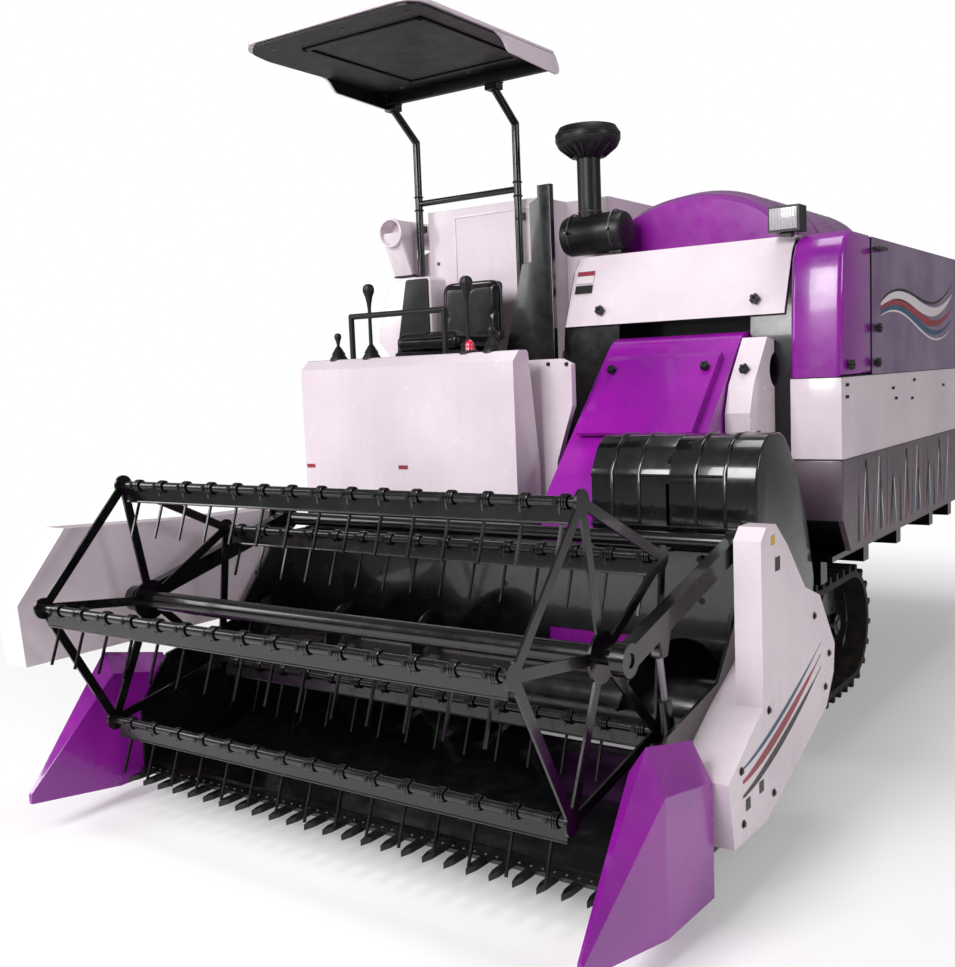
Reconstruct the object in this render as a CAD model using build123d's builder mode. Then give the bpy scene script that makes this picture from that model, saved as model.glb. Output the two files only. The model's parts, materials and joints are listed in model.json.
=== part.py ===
"""Crawler combine harvester: a 2 m header on a feeder house, a threshing body on the left,
the operator's place, engine and grain tank on the right, all on two rubber tracks.

Millimetres. +X is the machine's left, +Y its rear, +Z up. The origin is on the ground below
the middle of the whole machine, and the machine faces -Y.
"""
from build123d import *
from math import cos, radians, sin
import os

os.makedirs("parts", exist_ok=True)

# Whole machine
overall_length = 4700
half_width = 1160
reel_behind_tips = 420
bar_circle_r = 420
bar_count = 5
first_bar = 29         # degrees above the rearward direction
boss_r = 34
front_bar = first_bar + 2 * 360 / bar_count
reel_overhang = bar_circle_r * cos(radians(180 - front_bar)) + boss_r - reel_behind_tips
nose = reel_overhang - overall_length / 2      # the divider tips
tail = overall_length / 2

# Clearances
running_gap = 6        # between pieces that move past each other
shaft_gap = 0.05       # radial, shaft in its bearing
seat_gap = 0.3         # between curved faces that stay together
sheet = 10             # thickness of a header sheet or body panel

# Header
header_half = 1000     # inner face of each side wall
cutter_y = nose + 470
cutter_z = 110
auger_y = nose + 1080
auger_z = 400
auger_tube_r = 110
auger_shaft_r = 20
flight_r = 225
flight_sheet = 6
flight_pitch = 400
auger_floor_gap = 15
trough_r = flight_r + auger_floor_gap
header_back = auger_y + trough_r
header_top = 870
skid_height = 70
divider_tip = 1050
finger_count = 26
finger_length = 110

# Reel
reel_y = nose + reel_behind_tips
reel_z = 735
reel_half = 900
reel_tube_r = 32
reel_journal_r = 20
spider_sheet = 8
bar_tube_r = 14
bat_height = 55
tine_count = 15
tine_drop = 170
tine_wire = 7
reel_pivot_y = nose + 1170
reel_pivot_z = 925
arm_inner = 940
arm_width = 40
arm_height = 60

# Feeder house
pivot_y = nose + 1985
pivot_z = 1450
feeder_x = (160, 700)
feeder_half_depth = 145
pivot_pin_r = 25
pivot_pin_length = 50

# Tracks
track_centre = 600
track_width = 400
belt = 28
lug_height = 30
lug_pitch = 90
lug_length = 30
idler_y = nose + 2920
idler_r = 222
sprocket_y = nose + 1730
sprocket_z = 320
sprocket_r = 170
front_roller_y = nose + 1830
roller_r = 75
roller_count = 4

# Lift cylinder under the feeder house, and the reel's cylinder inside the left header wall
lift_x = 240
lift_base = (nose + 2350, 430)
lift_eye = (nose + 1640, 690)
arm_middle = arm_inner + arm_width / 2
ram_base = (nose + 700, 300)
ram_eye = (nose + 620, 712)

# Body
body_left = 1050
body_bottom = 770
body_front = nose + 1970
body_rear = nose + 3980
seam_low = 1116
seam_mid = 1415
body_top = 1940
body_right = -100
deck_z = 960
tank_front = nose + 2200
tank_rear = nose + 3560
tank_top = 2240
roof_top = 2800


def span(x, y, z, mode=Mode.ADD):
    """Box between a low and a high value on each axis."""
    middle = [(low + high) / 2 for low, high in (x, y, z)]
    with Locations(tuple(middle)):
        return Box(x[1] - x[0], y[1] - y[0], z[1] - z[0], mode=mode)


def slab(outline, x, mode=Mode.ADD):
    """Prism across the machine between two X values, from a closed outline of (y, z) corners."""
    with BuildSketch(Plane.YZ.offset(x[0]), mode=Mode.PRIVATE) as side:
        with BuildLine():
            Polyline(*outline, close=True)
        make_face()
    return extrude(side.sketch, amount=x[1] - x[0], mode=mode)


def rod_x(centre, radius, x, mode=Mode.ADD):
    """Round bar along X at a (y, z) centre between two X values."""
    with Locations(Location((x[0], centre[0], centre[1]), (0, 90, 0))):
        return Cylinder(radius, x[1] - x[0], align=(Align.CENTER, Align.CENTER, Align.MIN), mode=mode)


def beam(start, end, depth, x, mode=Mode.ADD):
    """Straight beam between two (y, z) points, as wide as the X span."""
    with BuildSketch(Plane.YZ.offset(x[0]), mode=Mode.PRIVATE) as side:
        with BuildLine():
            run = Line(start, end)
        trace(run, line_width=depth)
    return extrude(side.sketch, amount=x[1] - x[0], mode=mode)


def from_nose(*corners):
    """Corners whose first value is a distance behind the divider tips."""
    return [(nose + y, z) for y, z in corners]


def finish(piece, name):
    """Label a finished piece and write its file."""
    piece.part.label = name
    export_step(piece.part, f"parts/{name}.step")


# Rubber tracks: one loop round the sprocket, the idler and the rollers, with its lugs
wheels = ((sprocket_y, sprocket_z, sprocket_r),
          (front_roller_y, belt + lug_height + roller_r, roller_r),
          (idler_y, belt + lug_height + idler_r, idler_r))

with BuildSketch(Plane.YZ, mode=Mode.PRIVATE) as belt_inside:
    for wheel_y, wheel_z, wheel_r in wheels:
        with Locations((wheel_y, wheel_z)):
            Circle(wheel_r)
    make_hull()
with BuildSketch(Plane.YZ, mode=Mode.PRIVATE) as belt_outside:
    for wheel_y, wheel_z, wheel_r in wheels:
        with Locations((wheel_y, wheel_z)):
            Circle(wheel_r + belt)
    make_hull()
loop_line = belt_outside.sketch.face().outer_wire()
lug_count = round(loop_line.length / lug_pitch)

track_inner = track_centre - track_width / 2
lug_root = 4           # how far a lug's root runs into the belt


def lug_plane(share):
    """Plane across the belt at a share of its loop, its Y pointing out of the loop."""
    along = loop_line % share
    if along.Y * ((loop_line @ share).Z - sprocket_z) > 0:
        along = -along
    outward = Vector(0, -along.Z, along.Y)
    point = loop_line @ share
    middle = Vector(0, (sprocket_y + idler_y) / 2, sprocket_z)
    if outward.dot(point - middle) < 0:
        along, outward = -along, -outward
    return Plane(origin=(track_inner, point.Y, point.Z), x_dir=along, z_dir=(1, 0, 0))


with BuildPart() as track_left:
    with BuildSketch(Plane.YZ.offset(track_inner)):
        add(Plane.YZ.to_local_coords(belt_outside.sketch))
        add(Plane.YZ.to_local_coords(belt_inside.sketch), mode=Mode.SUBTRACT)
    extrude(amount=track_width)
    with BuildSketch(*[lug_plane(index / lug_count) for index in range(lug_count)]):
        with BuildLine():
            Polyline((-lug_length / 2, -lug_root), (lug_length / 2, -lug_root),
                     (lug_length / 3, lug_height), (-lug_length / 3, lug_height), close=True)
        make_face()
    extrude(amount=track_width)
finish(track_left, "track_left")

with BuildPart() as track_right:
    add(mirror(track_left.part, about=Plane.YZ, mode=Mode.PRIVATE))
finish(track_right, "track_right")

track_beam_z = (250, 340)

# Undercarriage: on each side a beam, its rollers, the idler and the sprocket
wheel_gap = seat_gap
with BuildPart() as undercarriage:
    for side in (1, -1):
        middle = side * track_centre
        beam_x = (middle - 45, middle + 45)
        span(beam_x, (sprocket_y + 40, idler_y), track_beam_z)
        for wheel_y, wheel_z, wheel_r in wheels:
            rod_x((wheel_y, wheel_z), wheel_r - wheel_gap, (middle - 110, middle - 50))
            rod_x((wheel_y, wheel_z), wheel_r - wheel_gap, (middle + 50, middle + 110))
            rod_x((wheel_y, wheel_z), 32, (middle - 110, middle + 110))
        span((middle - 20, middle + 20), (front_roller_y - 40, front_roller_y + 40), (120, 260))
        roller_step = (idler_y - idler_r - front_roller_y - roller_r) / roller_count
        for index in range(1, roller_count):
            roller_at = (front_roller_y + index * roller_step, wheels[1][1])
            rod_x(roller_at, roller_r - wheel_gap, (middle - 110, middle - 50))
            rod_x(roller_at, roller_r - wheel_gap, (middle + 50, middle + 110))
            rod_x(roller_at, 22, (middle - 110, middle + 110))
            span((middle - 20, middle + 20), (roller_at[0] - 30, roller_at[0] + 30), (120, 260))
finish(undercarriage, "undercarriage")

# Main frame: two rails, with legs and cross tubes down to the track beams
rail_x = 330
rail_width = 70
rail_z = (560, 660)
cross_tube_z = (track_beam_z[0] + 5, track_beam_z[1] - 5)
deck_sheet = 20
hitch_bore_r = 16
hitch_y = nose + 4160
with BuildPart() as main_frame:
    for side in (1, -1):
        rail = sorted((side * (rail_x - rail_width / 2), side * (rail_x + rail_width / 2)))
        span(rail, (nose + 1760, nose + 4050), rail_z)
        for leg_y in (nose + 2150, nose + 2640):
            span(rail, (leg_y - 40, leg_y + 40), (cross_tube_z[0], rail_z[0]))
    for leg_y in (nose + 2150, nose + 2640):
        span((45 - track_centre, track_centre - 45), (leg_y - 40, leg_y + 40), cross_tube_z)
    span((-rail_x, rail_x), (lift_base[0] - 40, lift_base[0] + 40), (rail_z[0], rail_z[0] + 40))
    for ear_x in ((lift_x - 44, lift_x - 32), (lift_x + 32, lift_x + 44)):
        span(ear_x, (lift_base[0] - 30, lift_base[0] + 30), (lift_base[1] - 28, rail_z[0]))
    rod_x(lift_base, 18 - shaft_gap, (lift_x - 44, lift_x + 44))
    with BuildSketch(Plane.XY.offset(rail_z[0])):
        with Locations((0, nose + 4040)):
            Rectangle(2 * rail_x - rail_width, 60)
        with BuildLine():
            Polyline((-110, nose + 4060), (110, nose + 4060), (50, hitch_y), (-50, hitch_y), close=True)
        make_face()
        with Locations((0, hitch_y)):
            Circle(50)
            Circle(hitch_bore_r, mode=Mode.SUBTRACT)
    extrude(amount=20)
finish(main_frame, "main_frame")

# Deck that the body and the engine stand on, with its cross members
with BuildPart() as deck:
    for cross_y in (nose + 1960, nose + 2500, nose + 3000, nose + 3600, nose + 4000):
        span((-980, 980), (cross_y - 35, cross_y + 35), (rail_z[1], body_bottom - deck_sheet))
    span((-1040, body_left - 20), (nose + 1900, nose + 3840), (body_bottom - deck_sheet, body_bottom))
    span((body_right, body_left - 20), (nose + 3840, nose + 4100), (body_bottom - deck_sheet, body_bottom))
finish(deck, "deck")

# Gearbox between the sprockets, with an axle tube to each
with BuildPart() as transmission:
    span((-160, 160), (sprocket_y - 110, sprocket_y + 150), (220, rail_z[0]))
    rod_x((sprocket_y, sprocket_z), 60, (-track_centre + 110, track_centre - 110))
    fillet(transmission.edges().filter_by(Axis.Z), radius=30)
finish(transmission, "transmission")

# Engine: one plain block on the deck under the operator
with BuildPart() as engine:
    span((-930, -260), (nose + 2080, nose + 2760), (body_bottom, 1400))
finish(engine, "engine")

# Engine cover: an open-bottomed box of panels round the engine
cover_x = (-1040, body_right - sheet)
cover_y = (nose + 1940, nose + 3560)
cover_z = (body_bottom, 1560)
with BuildPart() as engine_cover:
    span(cover_x, cover_y, cover_z)
    span((cover_x[0] + sheet, cover_x[1] - sheet), (cover_y[0] + sheet, cover_y[1] - sheet),
         (cover_z[0] - 1, cover_z[1] - sheet), mode=Mode.SUBTRACT)
    with BuildSketch(Plane.YZ.offset(cover_x[0])):
        with Locations(((cover_y[0] + cover_y[1]) / 2, 1180)):
            with GridLocations(0, 60, 1, 9):
                SlotOverall(760, 24)
    extrude(amount=sheet, mode=Mode.SUBTRACT)
finish(engine_cover, "engine_cover")

# Threshing body, with the inlet that the feeder house swings in and its two pivot bearings
bearing_r = 60
inlet_x = (feeder_x[0] - running_gap, feeder_x[1] + running_gap)
with BuildPart() as thresher_body:
    slab([(body_front, body_bottom + 120), (body_front + 90, body_bottom), (body_rear, body_bottom),
          (body_rear, body_top - 20), (body_front + 30, body_top - 20), (body_front + 30, 1650),
          (body_front, 1640)], (body_right, body_left - 2 * sheet))
    span(inlet_x, (body_front - 1, pivot_y + feeder_half_depth + 60), (body_bottom + 160, 1660),
         mode=Mode.SUBTRACT)
    for bearing_x in ((inlet_x[0] - pivot_pin_length, inlet_x[0]), (inlet_x[1], inlet_x[1] + pivot_pin_length)):
        rod_x((pivot_y, pivot_z), bearing_r, bearing_x)
    rod_x((pivot_y, pivot_z), pivot_pin_r + shaft_gap,
          (inlet_x[0] - pivot_pin_length, inlet_x[1] + pivot_pin_length), mode=Mode.SUBTRACT)
finish(thresher_body, "thresher_body")

# Left side: the low and middle panels, the front corner and the hinged upper door
panel_x = (body_left - 2 * sheet, body_left)
with BuildPart() as side_panel_low:
    slab([(body_front, seam_low - 3), (body_front, body_bottom + 120), (body_front + 90, body_bottom),
          (body_rear, body_bottom), (body_rear, seam_low - 3)], panel_x)
finish(side_panel_low, "side_panel_low")

with BuildPart() as side_panel_mid:
    span(panel_x, (body_front, body_rear), (seam_low, seam_mid - 3))
finish(side_panel_mid, "side_panel_mid")

corner_y = nose + 2345
with BuildPart() as corner_cover:
    with BuildSketch(Plane.XZ.offset(-(body_front - sheet))):
        with BuildLine():
            Polyline((840, seam_mid), (body_left, seam_mid), (body_left, body_top - 60),
                     (body_left - 60, body_top), (900, body_top), (900, body_top - 20), (840, body_top - 20),
                     close=True)
        make_face()
    extrude(amount=-sheet)
    slab([(body_front - sheet, seam_mid), (corner_y - 2, seam_mid), (corner_y - 2, body_top - 60),
          (body_front - sheet, body_top - 60)], panel_x)
finish(corner_cover, "corner_cover")

door_rear = body_rear
with BuildPart() as side_door:
    slab([(corner_y + 3, seam_mid), (door_rear, seam_mid), (door_rear, body_top - 2), (corner_y + 3, body_top - 2)],
         panel_x)
finish(side_door, "side_door")

# Hood panel above the feeder inlet and the purple drum cover behind it
hood_x = (-90, 835)
with BuildPart() as hood_front:
    slab([(body_front, 1675), (body_front + 30, 1675), (body_front + 30, body_top - 20),
          (body_front + 220, body_top - 20), (body_front + 220, body_top),
          (body_front + 40, body_top), (body_front, body_top - 45)], hood_x)
finish(hood_front, "hood_front")

with BuildPart() as drum_cover:
    slab([(nose + 2360, body_top - 20), (nose + 3700, body_top - 20), (nose + 3700, 2120), (nose + 3500, 2220),
          (nose + 2620, 2220), (nose + 2420, 2130)], (body_right, 540))
    fillet(drum_cover.edges().filter_by(Axis.Y), radius=60)
finish(drum_cover, "drum_cover")

# Straw hood: a thin open-ended cover behind the body
with BuildPart() as straw_hood:
    slab([(body_rear, body_top - 20), (nose + 4320, body_top - 120), (tail, 1360), (tail, 1180),
          (body_rear, body_bottom)], (body_right + 20, body_left - 60))
    slab([(body_rear - 1, body_top - 20 - sheet), (nose + 4310, body_top - 120 - sheet), (tail - sheet, 1350),
          (tail - sheet, 1100), (body_rear - 1, body_bottom - 100)],
         (body_right + 20 + sheet, body_left - 60 - sheet), mode=Mode.SUBTRACT)
finish(straw_hood, "straw_hood")

# Work lamp on the hood
with BuildPart() as work_lamp:
    span((760, 880), (body_front + 60, body_front + 140), (body_top + 15, body_top + 110))
    span((800, 840), (body_front + 80, body_front + 120), (body_top, body_top + 15))
finish(work_lamp, "work_lamp")

# Guard beside the feeder house, fixed to the body
with BuildPart() as feeder_guard:
    slab(from_nose((1720, 1045), (1970, 1045), (1970, 1560), (1900, 1570), (1760, 1400), (1720, 1300)),
         (feeder_x[1] + running_gap, 800))
    rod_x((pivot_y, pivot_z), bearing_r + 5, (feeder_x[1] + running_gap, 800), mode=Mode.SUBTRACT)
finish(feeder_guard, "feeder_guard")

# Grain tank over the engine, with a shoulder that the unloading auger lies over
tank_step = nose + 2420
with BuildPart() as grain_tank:
    with BuildSketch(Plane.XZ.offset(-tank_front)):
        with BuildLine():
            Polyline((-1040, 1560), (body_right - sheet, 1560), (body_right - sheet, tank_top),
                     (-950, tank_top), (-950, 2060), (-1040, 2030), close=True)
        make_face()
    extrude(amount=-(tank_rear - tank_front))
    span((-330, body_right), (tank_front - 1, tank_step), (1559, tank_top + 1), mode=Mode.SUBTRACT)
finish(grain_tank, "grain_tank")

# Tube frame round the tank's front and the posts that carry the roof
post_r = 17
post_places = (-420, -970)
frame_top = 2280
with BuildPart() as roof_frame:
    for post_x in post_places:
        with BuildLine() as post_line:
            Polyline((post_x, tank_front - 40, 1560), (post_x, tank_front - 40, 2560),
                     (post_x, nose + 2000, roof_top - 115))
        with BuildSketch(Plane((post_x, tank_front - 40, 1560), z_dir=(0, 0, 1))):
            Circle(post_r)
        sweep(path=post_line.wires()[0], transition=Transition.RIGHT)
        span((post_x - 30, post_x + 30), (nose + 1975, nose + 2025), (roof_top - 125, roof_top - 95))
    rod_x((tank_front - 40, frame_top), post_r - 3, (post_places[1], post_places[0]))
    for post_x in post_places:
        span((post_x - 12, post_x + 12), (tank_front - 40, tank_front), (2150, 2180))
finish(roof_frame, "roof_frame")

# Roof
with BuildPart() as roof:
    slab(from_nose((1000, roof_top - 95), (1060, roof_top - 30), (1400, roof_top), (1900, roof_top),
                   (2030, roof_top - 40), (2030, roof_top - 95)), (-1060, -90))
    slab(from_nose((1040, roof_top - 96), (1100, roof_top - 50), (1960, roof_top - 50), (1990, roof_top - 96)),
         (-1020, -130), mode=Mode.SUBTRACT)
    span((-1030, -120), (nose + 1985, nose + 2015), (roof_top - 95, roof_top - 50))
finish(roof, "roof")

# Operator's platform with its front plate and the step at the right side
with BuildPart() as platform:
    span((-1060, 100), (nose + 1400, cover_y[0]), (deck_z - 20, deck_z))
    span((-1060, 100), (nose + 1400, nose + 1410), (700, deck_z - 20))
    span((-1060, 100), (cover_y[0] - 10, cover_y[0]), (body_bottom, deck_z - 20))
    span((-1140, -900), (nose + 1480, nose + 1760), (520, 545))
    for step_x in (-1060, -910):
        span((step_x, step_x + 10), (nose + 1480, nose + 1760), (545, deck_z - 20))
finish(platform, "platform")

# Console across the front of the operator's place
with BuildPart() as console:
    slab(from_nose((1400, deck_z), (1560, deck_z), (1560, 1120), (1500, 1560), (1440, 1560), (1395, 1520),
                   (1395, deck_z + 40)), (-1050, 20))
    fillet(console.edges().filter_by(Axis.X).group_by(Axis.Z)[-1], radius=18)
finish(console, "console")

with BuildPart() as side_plate:
    with BuildSketch(Plane.XZ.offset(-(nose + 1600))):
        with BuildLine():
            Polyline((-60, deck_z), (60, deck_z), (75, 1132), (148, 1345), (148, 1500), (100, 1522), (-60, 1522),
                     close=True)
        make_face()
    extrude(amount=-30)
finish(side_plate, "side_plate")

# Levers, red stop button's base and hand rail on the console
with BuildPart() as levers:
    lever_y = nose + 1470
    for lever_x, lever_top, knob_r in ((-720, 1860, 20), (-230, 1853, 20), (-900, 1670, 14)):
        with Locations((lever_x, lever_y, 1560)):
            Cone(34, 12, 50, align=(Align.CENTER, Align.CENTER, Align.MIN))
            Cylinder(8, lever_top - 1560, align=(Align.CENTER, Align.CENTER, Align.MIN))
        with Locations((lever_x, lever_y, lever_top - 30)):
            Cylinder(knob_r, 60)
    rod_x((lever_y, 1735), 12, (-820, -340))
    for rail_end in (-820, -340):
        with Locations((rail_end, lever_y, 1560)):
            Cylinder(12, 175, align=(Align.CENTER, Align.CENTER, Align.MIN))
finish(levers, "levers")

# Seat and its base
with BuildPart() as seat_base:
    span((-780, -440), (nose + 1700, nose + 2110), (cover_z[1], 1580))
    span((-740, -480), (nose + 1730, cover_y[0]), (deck_z, cover_z[1]))
finish(seat_base, "seat_base")

with BuildPart() as seat:
    span((-790, -430), (nose + 1680, nose + 2050), (1580 + seat_gap, 1665))
    fillet(seat.edges().filter_by(Axis.Z), radius=50)
    span((-775, -445), (nose + 2030, nose + 2100), (1600, 1900))
finish(seat, "seat")

# Air cleaner: dust cup, stem and drum
with BuildPart() as air_cleaner:
    with Locations((-100, nose + 2230, 2370)):
        Cylinder(140, 140, align=(Align.CENTER, Align.CENTER, Align.MIN))
    with Locations((-100, nose + 2230, 2060)):
        Cylinder(38, 320, align=(Align.CENTER, Align.CENTER, Align.MIN))
    rod_x((nose + 2230, 2050), 85, (-200, 110))
    span((0, 60), (nose + 2200, nose + 2260), (body_top - 20, 1990))
finish(air_cleaner, "air_cleaner")

# Unloading auger: column, turning elbow and the tube that rests along the right side
column_x = -1065
column_y = nose + 3720
column_r = 75
collar_r = 90
tube_r = 70
tube_z = 2150
turn_z = tube_z - 120
outlet_y = column_y - 84
spout_y = nose + 2110
hinge = (outlet_y - 3, tube_z + tube_r + 22)
hinge_pin_r = 8
with BuildPart() as unload_column:
    with Locations((column_x, column_y, body_bottom)):
        Cylinder(column_r, turn_z - 40 - body_bottom, align=(Align.CENTER, Align.CENTER, Align.MIN))
    with Locations((column_x, column_y, turn_z - 40)):
        Cylinder(collar_r, 40, align=(Align.CENTER, Align.CENTER, Align.MIN))
finish(unload_column, "unload_column")

with BuildPart() as unload_elbow:
    with Locations((column_x, column_y, turn_z + seat_gap)):
        Cylinder(collar_r, 30, align=(Align.CENTER, Align.CENTER, Align.MIN))
        Cylinder(column_r, tube_z + 60 - turn_z, align=(Align.CENTER, Align.CENTER, Align.MIN))
    with Locations(Location((column_x, column_y, tube_z), (90, 0, 0))):
        Cylinder(tube_r, column_y - outlet_y, align=(Align.CENTER, Align.CENTER, Align.MIN))
    for ear_x in ((column_x - 34, column_x - 24), (column_x + 24, column_x + 34)):
        slab([(hinge[0] - 16, hinge[1] - 16), (hinge[0] - 16, hinge[1] + 16), (hinge[0] + 20, hinge[1] + 16),
              (column_y, tube_z + 58), (outlet_y, tube_z + 55), (outlet_y, hinge[1] - 16)], ear_x)
    rod_x(hinge, hinge_pin_r, (column_x - 34, column_x + 34))
finish(unload_elbow, "unload_elbow")

with BuildPart() as unload_tube:
    with Locations(Location((column_x, outlet_y - running_gap, tube_z), (90, 0, 0))):
        Cylinder(tube_r, outlet_y - running_gap - spout_y, align=(Align.CENTER, Align.CENTER, Align.MIN))
    slab([(hinge[0] - 60, tube_z + tube_r - 12), (hinge[0] - 10, hinge[1] - 14), (hinge[0] + 14, hinge[1] - 14),
          (hinge[0] + 14, hinge[1] + 14), (hinge[0] - 14, hinge[1] + 14), (hinge[0] - 110, tube_z + tube_r - 12)],
         (column_x - 18, column_x + 18))
    rod_x(hinge, hinge_pin_r + shaft_gap, (column_x - 18, column_x + 18), mode=Mode.SUBTRACT)
    slab([(spout_y - 60, tube_z + 40), (spout_y - 60, tube_z - 150), (spout_y + 80, tube_z - 150),
          (spout_y + 80, tube_z), (spout_y + 60, tube_z + 76), (spout_y - 30, tube_z + 76)],
         (column_x - 78, column_x + 66))
finish(unload_tube, "unload_tube")

# Feeder house, hinged at its upper end on two stub shafts
slope_low = Vector(nose + 1420, 1085)
slope_high = Vector(nose + 1881, 1551.5)
slope_along = (slope_high - slope_low).normalized()
slope_out = Vector(-slope_along.Y, slope_along.X)
clevis_x = ((lift_x - 38, lift_x - 26), (lift_x + 26, lift_x + 38))
clevis_pin_r = 9
with BuildPart() as feeder_house:
    with BuildSketch(Plane.YZ.offset(feeder_x[0])):
        with Locations((pivot_y, pivot_z)):
            Circle(feeder_half_depth)
        with BuildLine():
            Polyline(*from_nose((1320 + sheet, 170), (1370, 300), (1500, 620), (2089, 1348.5), (1881, 1551.5),
                                (1420, 1085), (1320 + sheet, 985)), close=True)
        make_face()
    extrude(amount=feeder_x[1] - feeder_x[0])
    for ear_x in clevis_x:
        slab([(lift_eye[0] - 70, 760), (lift_eye[0] - 20, lift_eye[1] - 24), (lift_eye[0] + 20, lift_eye[1] - 24),
              (lift_eye[0] + 70, 860)], ear_x)
    rod_x(lift_eye, clevis_pin_r, (clevis_x[0][0], clevis_x[1][1]))
    rod_x((pivot_y, pivot_z), pivot_pin_r,
          (feeder_x[0] - pivot_pin_length, feeder_x[1] + pivot_pin_length))
finish(feeder_house, "feeder_house")

# Hatch with two knobs on the feeder's slope
with BuildPart() as feeder_hatch:
    hatch = [slope_low + slope_along * run + slope_out * rise
             for run, rise in ((210, 0), (590, 0), (590, 26), (560, 34), (190, 34), (190, 20))]
    slab([(corner.X, corner.Y) for corner in hatch], (200, 660))
finish(feeder_hatch, "feeder_hatch")

# Header trough: floor, back wall with the feeder's mouth, and the two side walls
mouth_z = (190, 560)
guard_inner = 1045
with BuildPart() as header_trough:
    with BuildSketch(Plane.YZ.offset(-header_half)):
        with BuildLine():
            front_in = (cutter_y, cutter_z + sheet)
            Line(front_in, (auger_y, auger_z - trough_r))
            CenterArc((auger_y, auger_z), trough_r, -90, 90)
            Line((header_back, auger_z), (header_back, header_top))
            Line((header_back, header_top), (header_back + sheet, header_top))
            Line((header_back + sheet, header_top), (header_back + sheet, auger_z))
            CenterArc((auger_y, auger_z), trough_r + sheet, 0, -90)
            Line((auger_y, auger_z - trough_r - sheet), (cutter_y, cutter_z))
            Line((cutter_y, cutter_z), front_in)
        make_face()
    extrude(amount=2 * header_half)
    span((feeder_x[0] + 20, feeder_x[1] - 20), (auger_y + 100, header_back + sheet + 1), mouth_z,
         mode=Mode.SUBTRACT)
    wall_outline = from_nose((430, 90), (430, 330), (560, 500), (900, 560), (1110, 800), (1125, 970), (1215, 970),
                             (1230, 865), (1320 + sheet, 865), (1320 + sheet, 130), (1200, skid_height), (600, skid_height))
    for wall_x in ((-header_half - sheet, -header_half), (header_half, header_half + sheet)):
        slab(wall_outline, wall_x)
        rod_x((auger_y, auger_z), auger_shaft_r + shaft_gap, wall_x, mode=Mode.SUBTRACT)
        rod_x((reel_pivot_y, reel_pivot_z), 25 + shaft_gap, wall_x, mode=Mode.SUBTRACT)
    for skid_x in ((-860, -700), (-80, 80), (760, 920)):
        slab(from_nose((560, 115), (640, 0), (1000, 0), (1120, 160)), skid_x)
    span((-guard_inner, -header_half - sheet), (nose + 1060, nose + 1290), (560, 720))
    span((arm_middle + 22, header_half), (ram_base[0] - 24, ram_base[0] + 24), (ram_base[1] - 24, ram_base[1] + 24))
    rod_x(ram_base, 10 - shaft_gap, (arm_middle - 14, header_half))
finish(header_trough, "header_trough")

# Cutter bar with its fingers
finger_step = 2 * (header_half - 40) / (finger_count - 1)
with BuildPart() as cutter_bar:
    span((-header_half, header_half), (cutter_y - 60, cutter_y), (cutter_z - 8, cutter_z + sheet - 6))
    for index in range(finger_count):
        finger_x = -header_half + 40 + index * finger_step
        with BuildSketch(Plane.XY.offset(cutter_z - 16)):
            with BuildLine():
                Polyline((finger_x - 12, cutter_y - 50), (finger_x + 12, cutter_y - 50),
                         (finger_x + 10, cutter_y - finger_length), (finger_x, cutter_y - finger_length - 35),
                         (finger_x - 10, cutter_y - finger_length), close=True)
            make_face()
        extrude(amount=18)
finish(cutter_bar, "cutter_bar")

# Dividers at both ends of the header
divider_sections = (  # behind the tip, inner and outer X, low and high Z
    (0, divider_tip - 8, divider_tip + 8, 110, 150),
    (330, 1012, 1110, 70, 550),
    (590, 1010, 1120, 70, 490),
)
with BuildPart() as dividers:
    for behind, inner, outer, low, high in divider_sections:
        with BuildSketch(Plane.XZ.offset(-(nose + behind))):
            with BuildLine():
                Polyline((inner, low), (outer, low), (outer, high - 0.25 * (high - low)), ((inner + outer) / 2, high),
                         (inner, high - 0.15 * (high - low)), close=True)
            make_face()
    loft(ruled=True)
    mirror(about=Plane.YZ)
finish(dividers, "dividers")

# Left guard: the belt cover at the end of the header
wall_outer = header_half + sheet
with BuildPart() as guard_left:
    slab(from_nose((600, 380), (850, 514), (1355, 746), (1500, 560), (1487, 468), (1412, 372), (878, 187),
                   (636, 190)), (wall_outer, half_width))
    slab(from_nose((858, 515), (858, 985), (900, 1020), (975, 1020), (1070, 946), (1220, 794), (1355, 746),
                   (1200, 500)), (1080, half_width))
finish(guard_left, "guard_left")

# Right guard: the raised box at the other end
with BuildPart() as guard_right:
    slab(from_nose((20, 570), (5, 780), (200, 1010), (800, 970), (1150, 960), (1290, 800), (1290, 560)),
         (-half_width, -guard_inner))
finish(guard_right, "guard_right")

# Black moulded shield over the feeder's lower end
with BuildPart() as drive_shield:
    slab(from_nose((1240, header_top), (1235, 1110), (1290, 1215), (1500, 1222), (1660, 1120), (1800, 850),
                   (1780, 640), (1720, 600), (1335, 600), (1335, header_top)), (710, header_half + 5))
    slab(from_nose((1240, header_top), (1235, 1110), (1290, 1215), (1500, 1222), (1540, 1215),
                   (1415, 1088), (1325, 990), (1325, header_top)), (420, 710))
finish(drive_shield, "drive_shield")

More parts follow.
